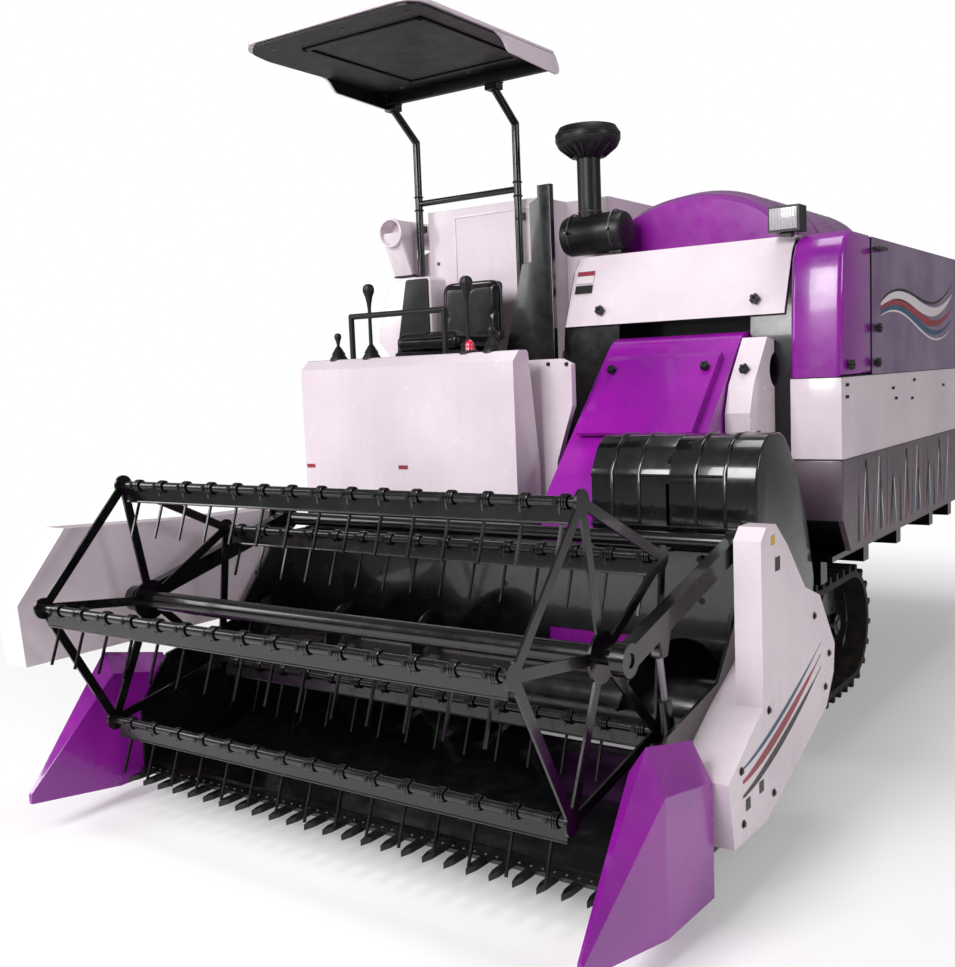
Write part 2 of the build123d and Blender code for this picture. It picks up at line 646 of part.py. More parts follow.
# Header auger: tube, two flights that feed towards the mouth, and its fingers
auger_half = header_half - 12
with BuildPart() as header_auger:
    rod_x((auger_y, auger_z), auger_tube_r, (-auger_half, auger_half))
    rod_x((auger_y, auger_z), auger_shaft_r, (-header_half - sheet, header_half + sheet))
    flight_mean = (flight_r + auger_tube_r - 5) / 2
    for start_x, length, turn in ((-auger_half + 5, auger_half + feeder_x[0], False),
                                  (auger_half - 5, auger_half - feeder_x[1], True)):
        direction = (1, 0, 0) if start_x < 0 else (-1, 0, 0)
        with BuildLine() as coil:
            Helix(flight_pitch, length, flight_mean, center=(start_x, auger_y, auger_z), direction=direction,
                  lefthand=turn)
        begin = coil.line @ 0
        radial = (begin - Vector(start_x, auger_y, auger_z)).normalized()
        with BuildSketch(Plane(origin=begin, x_dir=radial, z_dir=coil.line % 0)):
            Rectangle(flight_r - auger_tube_r + 5, flight_sheet)
        sweep(path=coil.wires()[0], is_frenet=True)
finish(header_auger, "header_auger")

# Reel arms: two box beams and the tube that joins them at their pivot
reel_centre = (reel_y, reel_z)
reel_pivot = (reel_pivot_y, reel_pivot_z)
arm_outer = arm_inner + arm_width
with BuildPart() as reel_arms:
    rod_x(reel_pivot, 25, (-header_half - sheet, header_half + sheet))
    for arm_x in ((arm_inner, arm_outer), (-arm_outer, -arm_inner)):
        beam(reel_pivot, reel_centre, arm_height, arm_x)
        rod_x(reel_pivot, 45, arm_x)
        rod_x(reel_centre, 45, arm_x)
        rod_x(reel_centre, reel_journal_r + shaft_gap, arm_x, mode=Mode.SUBTRACT)
    for ear_x in ((arm_inner, arm_inner + 7), (arm_outer - 7, arm_outer)):
        slab([(ram_eye[0] - 40, 775), (ram_eye[0] - 14, ram_eye[1] - 14), (ram_eye[0] + 14, ram_eye[1] - 14),
              (ram_eye[0] + 40, 775)], ear_x)
    rod_x(ram_eye, 5, (arm_inner, arm_outer))
finish(reel_arms, "reel_arms")

# Reel: the tube, its journals and a spider at each end that carries the five bars
bar_places = [(reel_y + bar_circle_r * cos(radians(first_bar + index * 360 / bar_count)),
               reel_z + bar_circle_r * sin(radians(first_bar + index * 360 / bar_count)))
              for index in range(bar_count)]
spider_faces = (reel_half - spider_sheet, -reel_half)
with BuildPart() as reel:
    rod_x(reel_centre, reel_tube_r, (-reel_half, reel_half))
    rod_x(reel_centre, reel_journal_r, (-arm_outer + 5, arm_outer - 5))
    for face_x in spider_faces:
        with BuildSketch(Plane.YZ.offset(face_x)):
            with Locations(reel_centre):
                Circle(70)
            for place, following in zip(bar_places, bar_places[1:] + bar_places[:1]):
                for start in (reel_centre, following):
                    with BuildLine(mode=Mode.PRIVATE) as run:
                        Line(start, place)
                    trace(run.line, line_width=30)
            with Locations(*bar_places):
                Circle(boss_r)
            with Locations(*bar_places):
                Circle(bar_tube_r + shaft_gap, mode=Mode.SUBTRACT)
        extrude(amount=spider_sheet)
finish(reel, "reel")

# Tine bars: each a tube with a bat below it and a row of hanging spring tines
tine_step = 2 * (reel_half - 70) / (tine_count - 1)
tine_outline = ((0, 0), (10, -60), (-8, -110), (-30, -tine_drop))
tine_planes = [Plane.YZ.offset(-reel_half + 70 + index * tine_step - tine_wire / 2) for index in range(tine_count)]
with BuildPart(mode=Mode.PRIVATE) as tine_bar_shape:
    rod_x((0, 0), bar_tube_r, (-reel_half, reel_half))
    span((-reel_half + 20, reel_half - 20), (2, 6), (-bat_height, 0))
    with BuildSketch(*tine_planes):
        with BuildLine() as tine:
            Polyline(*tine_outline)
        trace(tine.line, line_width=tine_wire)
    extrude(amount=tine_wire)
for number, (bar_y, bar_z) in enumerate(bar_places, start=1):
    with BuildPart() as tine_bar:
        add(tine_bar_shape.part.moved(Location((0, bar_y, bar_z))))
    finish(tine_bar, f"tine_bar_{number}")


def cylinder_pair(base, eye, x, barrel_r, rod_r, eye_bore_r, barrel_share, width):
    """Barrel and rod between two (y, z) pins, each with an eye across X."""
    axis = Vector(0, eye[0] - base[0], eye[1] - base[1])
    reach = axis.length
    along = axis.normalized()
    foot = Vector(x, base[0], base[1])
    base_plane = Plane(origin=foot + along * barrel_r * 0.7, z_dir=along)
    with BuildPart() as barrel:
        with Locations(base_plane):
            Cylinder(barrel_r, reach * barrel_share, align=(Align.CENTER, Align.CENTER, Align.MIN))
        rod_x(base, barrel_r, (x - width / 2, x + width / 2))
        with Locations(base_plane.offset(30)):
            Cylinder(rod_r + shaft_gap, reach, align=(Align.CENTER, Align.CENTER, Align.MIN), mode=Mode.SUBTRACT)
        rod_x(base, rod_r, (x - width / 2, x + width / 2), mode=Mode.SUBTRACT)
    with BuildPart() as rod:
        with Locations(base_plane.offset(36)):
            Cylinder(rod_r, reach - barrel_r * 1.6 - 36, align=(Align.CENTER, Align.CENTER, Align.MIN))
        rod_x(eye, barrel_r, (x - width / 2, x + width / 2))
        rod_x(eye, eye_bore_r, (x - width / 2, x + width / 2), mode=Mode.SUBTRACT)
    return barrel, rod


lift_barrel, lift_rod = cylinder_pair(lift_base, lift_eye, lift_x, 30, 18, 18, 0.62, 40)
finish(lift_barrel, "lift_barrel")
finish(lift_rod, "lift_rod")
reel_barrel, reel_rod = cylinder_pair(ram_base, ram_eye, arm_middle, 20, 10, 13, 0.62, 24)
finish(reel_barrel, "reel_barrel")
finish(reel_rod, "reel_rod")
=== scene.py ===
"""Looks of the crawler combine harvester: finishes, trim, cushions, studio and camera.

Metres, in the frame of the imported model: +X the machine's left, +Y its rear, +Z up.
"""
import json
import logging
import math
from dataclasses import dataclass
from enum import Enum
from typing import Iterable, Sequence

import bmesh
import bpy
from mathutils import Matrix, Vector


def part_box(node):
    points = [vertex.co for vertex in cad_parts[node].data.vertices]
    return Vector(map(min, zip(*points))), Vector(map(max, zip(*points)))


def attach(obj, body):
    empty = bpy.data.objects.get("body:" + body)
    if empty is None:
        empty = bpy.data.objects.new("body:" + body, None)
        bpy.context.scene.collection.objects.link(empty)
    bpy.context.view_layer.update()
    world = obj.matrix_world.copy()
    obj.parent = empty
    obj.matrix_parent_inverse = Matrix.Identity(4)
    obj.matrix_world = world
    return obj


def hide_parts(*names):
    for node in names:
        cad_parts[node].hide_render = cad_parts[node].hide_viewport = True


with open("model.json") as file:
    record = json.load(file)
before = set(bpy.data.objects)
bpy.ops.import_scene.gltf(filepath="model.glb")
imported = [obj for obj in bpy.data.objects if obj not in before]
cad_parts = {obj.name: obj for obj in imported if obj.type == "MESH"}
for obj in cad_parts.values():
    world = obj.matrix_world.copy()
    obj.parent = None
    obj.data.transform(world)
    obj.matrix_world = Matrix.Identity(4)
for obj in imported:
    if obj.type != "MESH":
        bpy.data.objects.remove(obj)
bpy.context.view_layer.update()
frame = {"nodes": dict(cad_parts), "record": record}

logging.basicConfig(level=logging.INFO, format="%(message)s")
log = logging.getLogger("harvester")

MM = 0.001
# Y of the divider tips and of the body's front face, X of the body's left skin and of the guards' faces
NOSE = -2.31913
BODY_FRONT = NOSE + 1.970
BODY_LEFT = 1.050
GUARD_FACE = 1.160
# Heights of the two seams between the side's panels, and of the roof liner's underside
SEAMS = (1.1145, 1.4135)
ROOF_UNDER = 2.750
Place = Sequence[float]


def linear(hex_colour: str, alpha: float = 1.0) -> tuple[float, float, float, float]:
    """Turn an sRGB hex colour into linear red, green, blue and alpha.

    Args:
        hex_colour: Six hex digits.
        alpha: Opacity.

    Returns:
        The four linear values.
    """
    channels = [int(hex_colour[i:i + 2], 16) / 255 for i in (0, 2, 4)]
    values = [c / 12.92 if c <= 0.04045 else ((c + 0.055) / 1.055) ** 2.4 for c in channels]
    return (*values, alpha)


def add_node(tree: bpy.types.NodeTree, kind: str, settings: dict | None = None,
             links: dict | None = None) -> bpy.types.Node:
    """Add one shader node.

    Args:
        tree: The tree that gets it.
        kind: Its type name after ShaderNode.
        settings: Properties by name, and socket values by socket name or number.
        links: Output sockets by the name or number of the input they feed.

    Returns:
        The new node.
    """
    node = tree.nodes.new("ShaderNode" + kind)
    for key, value in (settings or {}).items():
        if isinstance(key, str) and hasattr(node, key):
            setattr(node, key, value)
        else:
            node.inputs[key].default_value = value
    for key, source in (links or {}).items():
        tree.links.new(source, node.inputs[key])
    return node


class Sheen(Enum):
    """How rough a finish is at its smoothest."""

    GLOSS = 0.16
    SATIN = 0.34
    MATT = 0.58


class Grain(Enum):
    """The small relief of a finish: noise of a paint film, pores of a casting or creases of vinyl."""

    FILM = "film"
    PORES = "pores"
    CREASES = "creases"


@dataclass(frozen=True)
class Finish:
    """A coated, moulded or metal surface: tone drift, dust low down, streaks, and fine relief."""

    name: str
    colour: str
    shade: str
    sheen: Sheen = Sheen.GLOSS
    metallic: float = 0.0
    clear: float = 0.0
    drift_mm: float = 420.0
    grain: Grain = Grain.FILM
    grain_mm: float = 2.2
    relief: float = 0.05
    dust: float = 0.25
    dust_top: float = 0.9
    dust_colour: str = "A39488"
    streaks: float = 0.0
    glow: float = 0.0
    specular: float = 0.5

    def build(self) -> bpy.types.Material:
        """Make the material.

        Returns:
            The new material.
        """
        material = bpy.data.materials.new(self.name)
        material.use_nodes = True
        tree = material.node_tree
        shader = tree.nodes["Principled BSDF"]
        place = add_node(tree, "TexCoord").outputs["Object"]
        colour = self.tone(tree, place)
        colour, grime = self.dusted(tree, place, colour)
        tree.links.new(colour, shader.inputs["Base Color"])
        rough = add_node(tree, "MapRange", {"From Min": 0.3, "From Max": 0.7, "To Min": self.sheen.value,
                                            "To Max": self.sheen.value + 0.14}, {"Value": grime})
        tree.links.new(rough.outputs["Result"], shader.inputs["Roughness"])
        tree.links.new(self.skin(tree, place), shader.inputs["Normal"])
        shader.inputs["Metallic"].default_value = self.metallic
        shader.inputs["Coat Weight"].default_value = self.clear
        shader.inputs["Coat Roughness"].default_value = 0.06
        shader.inputs["Specular IOR Level"].default_value = self.specular
        if self.glow:
            shader.inputs["Emission Color"].default_value = linear(self.colour)
            shader.inputs["Emission Strength"].default_value = self.glow
        return material

    def tone(self, tree: bpy.types.NodeTree, place: bpy.types.NodeSocket) -> bpy.types.NodeSocket:
        """Drift between colour and shade, with upright streaks where the finish has them.

        Args:
            tree: The material's tree.
            place: Object coordinates.

        Returns:
            The colour socket.
        """
        drift = add_node(tree, "TexNoise", {"Scale": 1 / (self.drift_mm * MM), "Detail": 4.0},
                         {"Vector": place})
        spread = add_node(tree, "MapRange", {"From Min": 0.35, "From Max": 0.65},
                          {"Value": drift.outputs["Fac"]})
        tone = add_node(tree, "Mix", {"data_type": "RGBA", 6: linear(self.colour), 7: linear(self.shade)},
                        {0: spread.outputs["Result"]})
        if not self.streaks:
            return tone.outputs[2]
        narrow = add_node(tree, "Mapping", {"Scale": (28.0, 28.0, 1.6)}, {"Vector": place})
        run = add_node(tree, "TexNoise", {"Scale": 1.0, "Detail": 5.0}, {"Vector": narrow.outputs["Vector"]})
        share = add_node(tree, "MapRange", {"From Min": 0.52, "From Max": 0.75, "To Max": self.streaks},
                         {"Value": run.outputs["Fac"]})
        streaked = add_node(tree, "Mix", {"data_type": "RGBA", 7: linear(self.dust_colour)},
                            {0: share.outputs["Result"], 6: tone.outputs[2]})
        return streaked.outputs[2]

    def dusted(self, tree: bpy.types.NodeTree, place: bpy.types.NodeSocket, colour: bpy.types.NodeSocket
               ) -> tuple[bpy.types.NodeSocket, bpy.types.NodeSocket]:
        """Lay dust that thickens towards the ground over the colour.

        Args:
            tree: The material's tree.
            place: Object coordinates.
            colour: The clean colour.

        Returns:
            The dusted colour and the grime noise.
        """
        split = add_node(tree, "SeparateXYZ", {}, {0: place})
        low = add_node(tree, "MapRange", {"From Min": self.dust_top, "From Max": 0.0, "To Max": self.dust},
                       {"Value": split.outputs["Z"]})
        grime = add_node(tree, "TexNoise", {"Scale": 1 / (70 * MM), "Detail": 7.0, "Roughness": 0.65},
                         {"Vector": place})
        patch = add_node(tree, "MapRange", {"From Min": 0.35, "From Max": 0.65},
                         {"Value": grime.outputs["Fac"]})
        amount = add_node(tree, "Math", {"operation": "MULTIPLY"},
                          {0: low.outputs["Result"], 1: patch.outputs["Result"]})
        dusty = add_node(tree, "Mix", {"data_type": "RGBA", 7: linear(self.dust_colour)},
                         {0: amount.outputs[0], 6: colour})
        return dusty.outputs[2], grime.outputs["Fac"]

    def skin(self, tree: bpy.types.NodeTree, place: bpy.types.NodeSocket) -> bpy.types.NodeSocket:
        """Make the fine relief.

        Args:
            tree: The material's tree.
            place: Object coordinates.

        Returns:
            The normal socket.
        """
        scale = 1 / (self.grain_mm * MM)
        if self.grain is Grain.CREASES:
            relief = add_node(tree, "TexVoronoi", {"feature": "DISTANCE_TO_EDGE", "Scale": scale},
                              {"Vector": place}).outputs["Distance"]
        else:
            detail = 6.0 if self.grain is Grain.PORES else 2.0
            relief = add_node(tree, "TexNoise", {"Scale": scale, "Detail": detail},
                              {"Vector": place}).outputs["Fac"]
        bump = add_node(tree, "Bump", {"Strength": self.relief, "Distance": 0.25 * self.grain_mm * MM},
                        {"Height": relief})
        return bump.outputs["Normal"]


# Finishes of the record's slots, then those of the trim, and the nodes that differ from their slot
SOOT = "3A3431"
SLOT_FINISHES = {
    # Enamel on sheet steel: faint drift, film noise, dust low down and thin upright dirt runs
    "white_paint": Finish("white_enamel", "EADDE5", "DDCED8", clear=0.3, dust=0.22, streaks=0.06),
    "purple_paint": Finish("purple_enamel", "9A16A2", "7A1489", clear=0.45, dust=0.12, dust_colour="6E3F72"),
    "black_paint": Finish("black_enamel", "080709", "040405", clear=0.3, dust=0.22, dust_colour=SOOT),
    "grey_panel": Finish("grey_violet_enamel", "5D4C59", "3F333D", Sheen.SATIN, clear=0.4, streaks=0.12),
    # Moulded plastics: gloss skin, or pores at a matt one
    "black_gloss": Finish("moulded_black_gloss", "050608", "08090C", clear=0.6, dust=0.1, dust_colour=SOOT),
    "black_matte": Finish("moulded_black", "0B0A0C", "100F11", Sheen.SATIN, grain=Grain.PORES, relief=0.12,
                          dust=0.1, dust_colour=SOOT, specular=0.4),
    # Rubber with coarse pores and dry dust in patches
    "track_rubber": Finish("track_rubber", "0C0B0D", "141214", Sheen.MATT, grain=Grain.PORES, grain_mm=5.0,
                           relief=0.5, dust=0.35, dust_top=0.7, dust_colour="6A5D53"),
    "bare_steel": Finish("bright_steel", "98949B", "77737A", Sheen.SATIN, metallic=1.0, relief=0.1),
    "cast_block": Finish("painted_casting", "1A1A1C", "262527", Sheen.MATT, grain=Grain.PORES, grain_mm=4.0,
                         relief=0.4),
    # Vinyl: creases from cells about 3 mm across
    "seat_cover": Finish("black_vinyl", "0A0A0C", "111013", Sheen.GLOSS, grain=Grain.CREASES, grain_mm=2.6,
                         relief=0.25, dust=0.0),
    "lamp": Finish("lamp_housing", "0C0C0E", "141416", Sheen.SATIN, dust=0.0),
}
TRIM_FINISHES = {
    # Door enamel: darker than the front's as painted shade of the side away from the lamps, and cloudy from a
    # large drift between two tones that paints soft reflections
    "door_shade_and_reflection": Finish("violet_door_painted_shade", "5B1A6B", "7B5F86", clear=0.6, drift_mm=260.0, dust=0.1),
    # Small fittings: moulded nylon with pores, plated and blackened steel with a rubbed film
    "knob": Finish("black_nylon", "08080A", "100F12", Sheen.SATIN, grain=Grain.PORES, relief=0.2, dust=0.0),
    "bolt": Finish("zinc_plated_steel", "8F8A8E", "716C70", Sheen.SATIN, metallic=1.0, relief=0.15, dust=0.1),
    "dark_bolt": Finish("blackened_steel", "0D0C0E", "161517", Sheen.SATIN, metallic=0.3, relief=0.2,
                        dust=0.1),
    "spring": Finish("black_spring_steel", "09080A", "0F0E11", Sheen.GLOSS, clear=0.4, dust=0.0),
    # Print films: an even satin skin that takes little dust
    "white_print": Finish("white_print_film", "E6DEE3", "D8CED5", Sheen.SATIN, dust=0.05),
    "red_print": Finish("red_print_film", "A0303F", "84283C", Sheen.SATIN, dust=0.05),
    "blue_print": Finish("blue_print_film", "275676", "204A68", Sheen.SATIN, dust=0.05),
    "black_print": Finish("black_print_film", "0E0C10", "171418", Sheen.SATIN, dust=0.05),
    "yellow_print": Finish("yellow_print_film", "D8B21E", "C9A018", Sheen.SATIN, dust=0.05),
    # Moulded lenses: a clear gloss coat, with broad ribs at the lamp's
    "red_lens": Finish("red_moulded_lens", "D01840", "B01236", Sheen.GLOSS, clear=1.0, glow=0.2, dust=0.0),
    "lens": Finish("ribbed_lamp_lens", "BDB9BE", "A7A3A9", Sheen.GLOSS, clear=1.0, grain_mm=7.0, relief=0.6,
                   dust=0.0),
    # Rubber strip, wire and cloth: matt or satin, the cloth creased and faintly streaked
    "gasket": Finish("black_rubber_strip", "070608", "0D0C0E", Sheen.SATIN, relief=0.1, dust=0.05),
    "mesh": Finish("dark_wire_mesh", "0F0E10", "080809", Sheen.SATIN, metallic=0.5, relief=0.2, dust=0.1),
    "inner_white": Finish("unloader_sleeve_cloth", "DFD4DB", "CBBEC7", Sheen.MATT, grain=Grain.CREASES,
                          grain_mm=1.6, relief=0.25, dust=0.0, streaks=0.15),
}
# The side door takes the finish of painted shade and painted reflections in place of its slot's enamel
NODE_FINISHES = {"side_door": "door_shade_and_reflection"}


def turned(direction: Place) -> Matrix:
    """Rotation that turns +Z into a direction."""
    return Vector(direction).to_track_quat("Z", "Y").to_matrix().to_4x4()


class Shape:
    """One trim piece in the making, built up with bmesh operators in the row frame."""

    def __init__(self, name: str) -> None:
        """Start an empty piece."""
        self.name = name
        self.mesh = bmesh.new()

    def block(self, low: Place, high: Place, bevel: float = 0.0, segments: int = 2) -> "Shape":
        """Add a box, with rounded edges if asked.

        Args:
            low: Lowest corner.
            high: Highest corner.
            bevel: Width of the rounded edges.
            segments: Their steps.

        Returns:
            The piece.
        """
        size = Vector(high) - Vector(low)
        middle = Matrix.Translation((Vector(low) + Vector(high)) / 2)
        scale = Matrix.Diagonal((*size, 1.0))
        made = bmesh.ops.create_cube(self.mesh, size=1.0, matrix=middle @ scale)
        if bevel:
            edges = {edge for vert in made["verts"] for edge in vert.link_edges}
            bmesh.ops.bevel(self.mesh, geom=list(edges), offset=bevel, segments=segments, profile=0.5,
                            affect="EDGES", material=-1)
        return self

    def bar(self, start: Place, end: Place, radius: float, end_radius: float | None = None,
            sides: int = 16) -> "Shape":
        """Add a round or many-sided bar or cone between two points.

        Args:
            start: Middle of one end.
            end: Middle of the other.
            radius: Radius at the start.
            end_radius: Radius at the end, the same if left out.
            sides: Number of sides.

        Returns:
            The piece.
        """
        run = Vector(end) - Vector(start)
        place = Matrix.Translation((Vector(start) + Vector(end)) / 2) @ turned(run)
        bmesh.ops.create_cone(self.mesh, cap_ends=True, segments=sides, radius1=radius,
                              radius2=radius if end_radius is None else end_radius, depth=run.length,
                              matrix=place)
        return self

    def ball(self, centre: Place, radius: float, squash: Place = (1, 1, 1), steps: int = 12) -> "Shape":
        """Add a ball, stretched or flattened along the axes if asked.

        Args:
            centre: Its middle.
            radius: Its radius before the stretch.
            squash: Stretch along X, Y and Z.
            steps: Steps from pole to pole.

        Returns:
            The piece.
        """
        place = Matrix.Translation(Vector(centre)) @ Matrix.Diagonal((*squash, 1.0))
        bmesh.ops.create_uvsphere(self.mesh, u_segments=2 * steps, v_segments=steps, radius=radius,
                                  matrix=place)
        return self

    def ring(self, centre: Place, axis: Place, radius: float, wire: float, steps: int = 20,
             sides: int = 8) -> "Shape":
        """Add a ring of round wire.

        Args:
            centre: Its middle.
            axis: The line it goes round.
            radius: From its middle to the wire's.
            wire: The wire's radius.
            steps: Steps round the ring.
            sides: Steps round the wire.

        Returns:
            The piece.
        """
        place = Matrix.Translation(Vector(centre)) @ turned(axis)
        section = place @ Matrix.Translation((radius, 0, 0)) @ Matrix.Rotation(math.pi / 2, 4, "X")
        made = bmesh.ops.create_circle(self.mesh, segments=sides, radius=wire, matrix=section)
        edges = list({edge for vert in made["verts"] for edge in vert.link_edges})
        bmesh.ops.spin(self.mesh, geom=made["verts"] + edges, cent=Vector(centre),
                       axis=Vector(axis).normalized(), angle=2 * math.pi, steps=steps, use_merge=True)
        return self

    def star(self, centre: Place, axis: Place, radius: float) -> "Shape":
        """Add a five-lobed clamp knob with its boss.

        Args:
            centre: Middle of its foot.
            axis: Direction that it stands out in.
            radius: Its radius.

        Returns:
            The piece.
        """
        spread = Matrix.Translation(Vector(centre)) @ turned(axis)
        self.bar(spread @ Vector((0, 0, -0.004)), spread @ Vector((0, 0, 0.010)), 0.6 * radius)
        for lobe in range(5):
            angle = math.radians(72 * lobe)
            foot = Vector((0.55 * radius * math.cos(angle), 0.55 * radius * math.sin(angle), 0.006))
            self.bar(spread @ foot, spread @ (foot + Vector((0, 0, 0.016))), 0.44 * radius, 0.36 * radius, 10)
        return self

    def hex_head(self, centre: Place, axis: Place, radius: float) -> "Shape":
        """Add a hexagon bolt head on its washer.

        Args:
            centre: Middle of its foot.
            axis: Direction that it stands out in.
            radius: Half the width over its corners.

        Returns:
            The piece.
        """
        spread = Matrix.Translation(Vector(centre)) @ turned(axis)
        self.bar(spread @ Vector((0, 0, -0.001)), spread @ Vector((0, 0, 0.0015)), 1.5 * radius, sides=14)
        self.bar(spread @ Vector((0, 0, 0.001)), spread @ Vector((0, 0, 0.65 * radius + 0.001)), radius,
                 0.94 * radius, 6)
        return self

    def ribbon(self, path: Iterable[Place], widths: Iterable[float], across: Place) -> "Shape":
        """Add a flat strip that follows points, as wide as asked at each.

        Args:
            path: Middle of the strip, point by point.
            widths: Its width at each point.
            across: Direction that the width is measured along.

        Returns:
            The piece.
        """
        points = [Vector(point) for point in path]
        made = bmesh.ops.create_grid(self.mesh, x_segments=len(points) - 1, y_segments=1, size=1.0)
        verts = sorted(made["verts"], key=lambda vert: (round(vert.co.x, 5), vert.co.y))
        for index, (point, width) in enumerate(zip(points, widths)):
            verts[2 * index].co = point - Vector(across) * width / 2
            verts[2 * index + 1].co = point + Vector(across) * width / 2
        return self

    def prism(self, corners: Sequence[Place], low: float, high: float, axis: str = "X",
              corner: float = 0.0, bevel: float = 0.0) -> "Shape":
        """Add a straight block of any outline, its long edges rounded first and then its rims.

        Args:
            corners: Outline in mm: Y behind the tips and Z along X, X and Z along Y, X and Y along Z.
            low: Where it starts along the axis, metres.
            high: Where it ends.
            axis: The axis's letter.
            corner: Radius of the long edges.
            bevel: Width of the rims' rounding.

        Returns:
            The piece.
        """
        before = set(self.mesh.verts)
        made = bmesh.ops.create_circle(self.mesh, cap_ends=True, segments=len(corners), radius=1.0)
        for vert, (first, second) in zip(made["verts"], corners):
            a, b = first * MM, second * MM
            vert.co = {"X": (low, tip(a), b), "Y": (a, tip(low), b), "Z": (a, tip(b), low)}[axis]
        number = "XYZ".index(axis)
        run = Vector([float(number == place) for place in range(3)])
        out = bmesh.ops.extrude_face_region(self.mesh, geom=[made["verts"][0].link_faces[0]])
        moved = [item for item in out["geom"] if isinstance(item, bmesh.types.BMVert)]
        bmesh.ops.translate(self.mesh, verts=moved, vec=run * (high - low))
        if corner:
            long = {edge for vert in moved for edge in vert.link_edges
                    if abs(edge.verts[0].co[number] - edge.verts[1].co[number]) > 0.5 * abs(high - low)}
            bmesh.ops.bevel(self.mesh, geom=list(long), offset=corner, segments=5, profile=0.5,
                            affect="EDGES", clamp_overlap=True, material=-1)
        if bevel:
            rims = {edge for vert in self.mesh.verts if vert not in before for edge in vert.link_edges
                    if abs(edge.verts[0].co[number] - edge.verts[1].co[number]) < 1e-6}
            bmesh.ops.bevel(self.mesh, geom=list(rims), offset=bevel, segments=3, profile=0.5,
                            affect="EDGES", clamp_overlap=True, material=-1)
        return self

    def lathe(self, foot: Place, axis: Place, profile: Sequence[Place], steps: int = 44) -> "Shape":
        """Turn a profile about an axis.

        Args:
            foot: Where the axis starts.
            axis: Its direction.
            profile: Radius and height pairs in mm.
            steps: Steps round it.

        Returns:
            The piece.
        """
        place = Matrix.Translation(Vector(foot)) @ turned(axis)
        last = len(profile) - 1
        made = bmesh.ops.create_grid(self.mesh, x_segments=last, y_segments=steps, size=1.0)
        for vert in made["verts"]:
            radius, height = profile[round((vert.co.x + 1) / 2 * last)]
            angle = math.pi * (vert.co.y + 1)
            reach, rise = radius * MM, height * MM
            vert.co = place @ Vector((reach * math.cos(angle), reach * math.sin(angle), rise))
        bmesh.ops.remove_doubles(self.mesh, verts=made["verts"], dist=1e-6)
        return self

    def arch(self, across: tuple[float, float], foot: float, stations: Sequence[Place]) -> "Shape":
        """Add a dome with an arched section that changes its rise along the machine.

        Args:
            across: Its two edges in X.
            foot: Height of its edges.
            stations: Y behind the tips and rise, front to rear.

        Returns:
            The piece.
        """
        middle, half = sum(across) / 2, (across[1] - across[0]) / 2
        made = bmesh.ops.create_circle(self.mesh, cap_ends=True, segments=33, radius=1.0)
        y, rise = stations[0]
        for index, vert in enumerate(made["verts"]):
            angle = math.pi * index / 32
            vert.co = (middle + half * math.cos(angle), tip(y), foot + rise * math.sin(angle) ** 0.8)
        face = made["verts"][0].link_faces[0]
        for y, following in stations[1:]:
            out = bmesh.ops.extrude_face_region(self.mesh, geom=[face])["geom"]
            face = next(item for item in out if isinstance(item, bmesh.types.BMFace))
            for vert in face.verts:
                vert.co.y = tip(y)
                vert.co.z = foot + (vert.co.z - foot) * following / rise
            rise = following
        return self

    def instead(self, body: str, finish: str, *nodes: str) -> bpy.types.Object:
        """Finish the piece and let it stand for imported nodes.

        Args:
            body: The nodes' body.
            finish: Their slot.
            nodes: Their names.

        Returns:
            The new object.
        """
        piece = self.done(body, finish)
        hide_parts(*nodes)
        return piece

    def done(self, body: str, finish: str, smooth: float = 35.0) -> bpy.types.Object:
        """Turn the piece into an object that rides on a body.

        Args:
            body: The body's name.
            finish: Its key among the finishes.
            smooth: Edges sharper than this angle, in degrees, stay sharp.

        Returns:
            The new object.
        """
        bmesh.ops.recalc_face_normals(self.mesh, faces=self.mesh.faces)
        for edge in self.mesh.edges:
            edge.smooth = len(edge.link_faces) != 2 or edge.calc_face_angle(0.0) < math.radians(smooth)
        for face in self.mesh.faces:
            face.smooth = True
        mesh = bpy.data.meshes.new(self.name)
        self.mesh.to_mesh(mesh)
        self.mesh.free()
        piece = bpy.data.objects.new(self.name, mesh)
        bpy.context.scene.collection.objects.link(piece)
        mesh.materials.append(Paintshop.material(finish))
        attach(piece, body)
        log.info("piece %s on %s: %d faces", self.name, body, len(mesh.polygons))
        return piece


class Paintshop:
    """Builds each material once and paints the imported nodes."""

    built: dict[str, bpy.types.Material] = {}

    @classmethod
    def material(cls, key: str) -> bpy.types.Material:
        """Get the material of a finish, made on first use.

        Args:
            key: Its name among the slot or trim finishes.

        Returns:
            The material.
        """
        if key not in cls.built:
            cls.built[key] = (SLOT_FINISHES | TRIM_FINISHES)[key].build()
        return cls.built[key]

    @classmethod
    def dress_nodes(cls) -> None:
        """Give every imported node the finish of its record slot."""
        slots = {entry["node"]: entry["material_slot"] for entry in frame["record"]["subparts"]}
        for name, node in frame["nodes"].items():
            finish = NODE_FINISHES.get(name, slots[name])
            for holder in node.material_slots:
                holder.material = cls.material(finish)
            log.info("finish %s on %s", finish, name)


def tip(y: float) -> float:
    """Row-frame Y of a distance behind the divider tips."""
    return NOSE + y


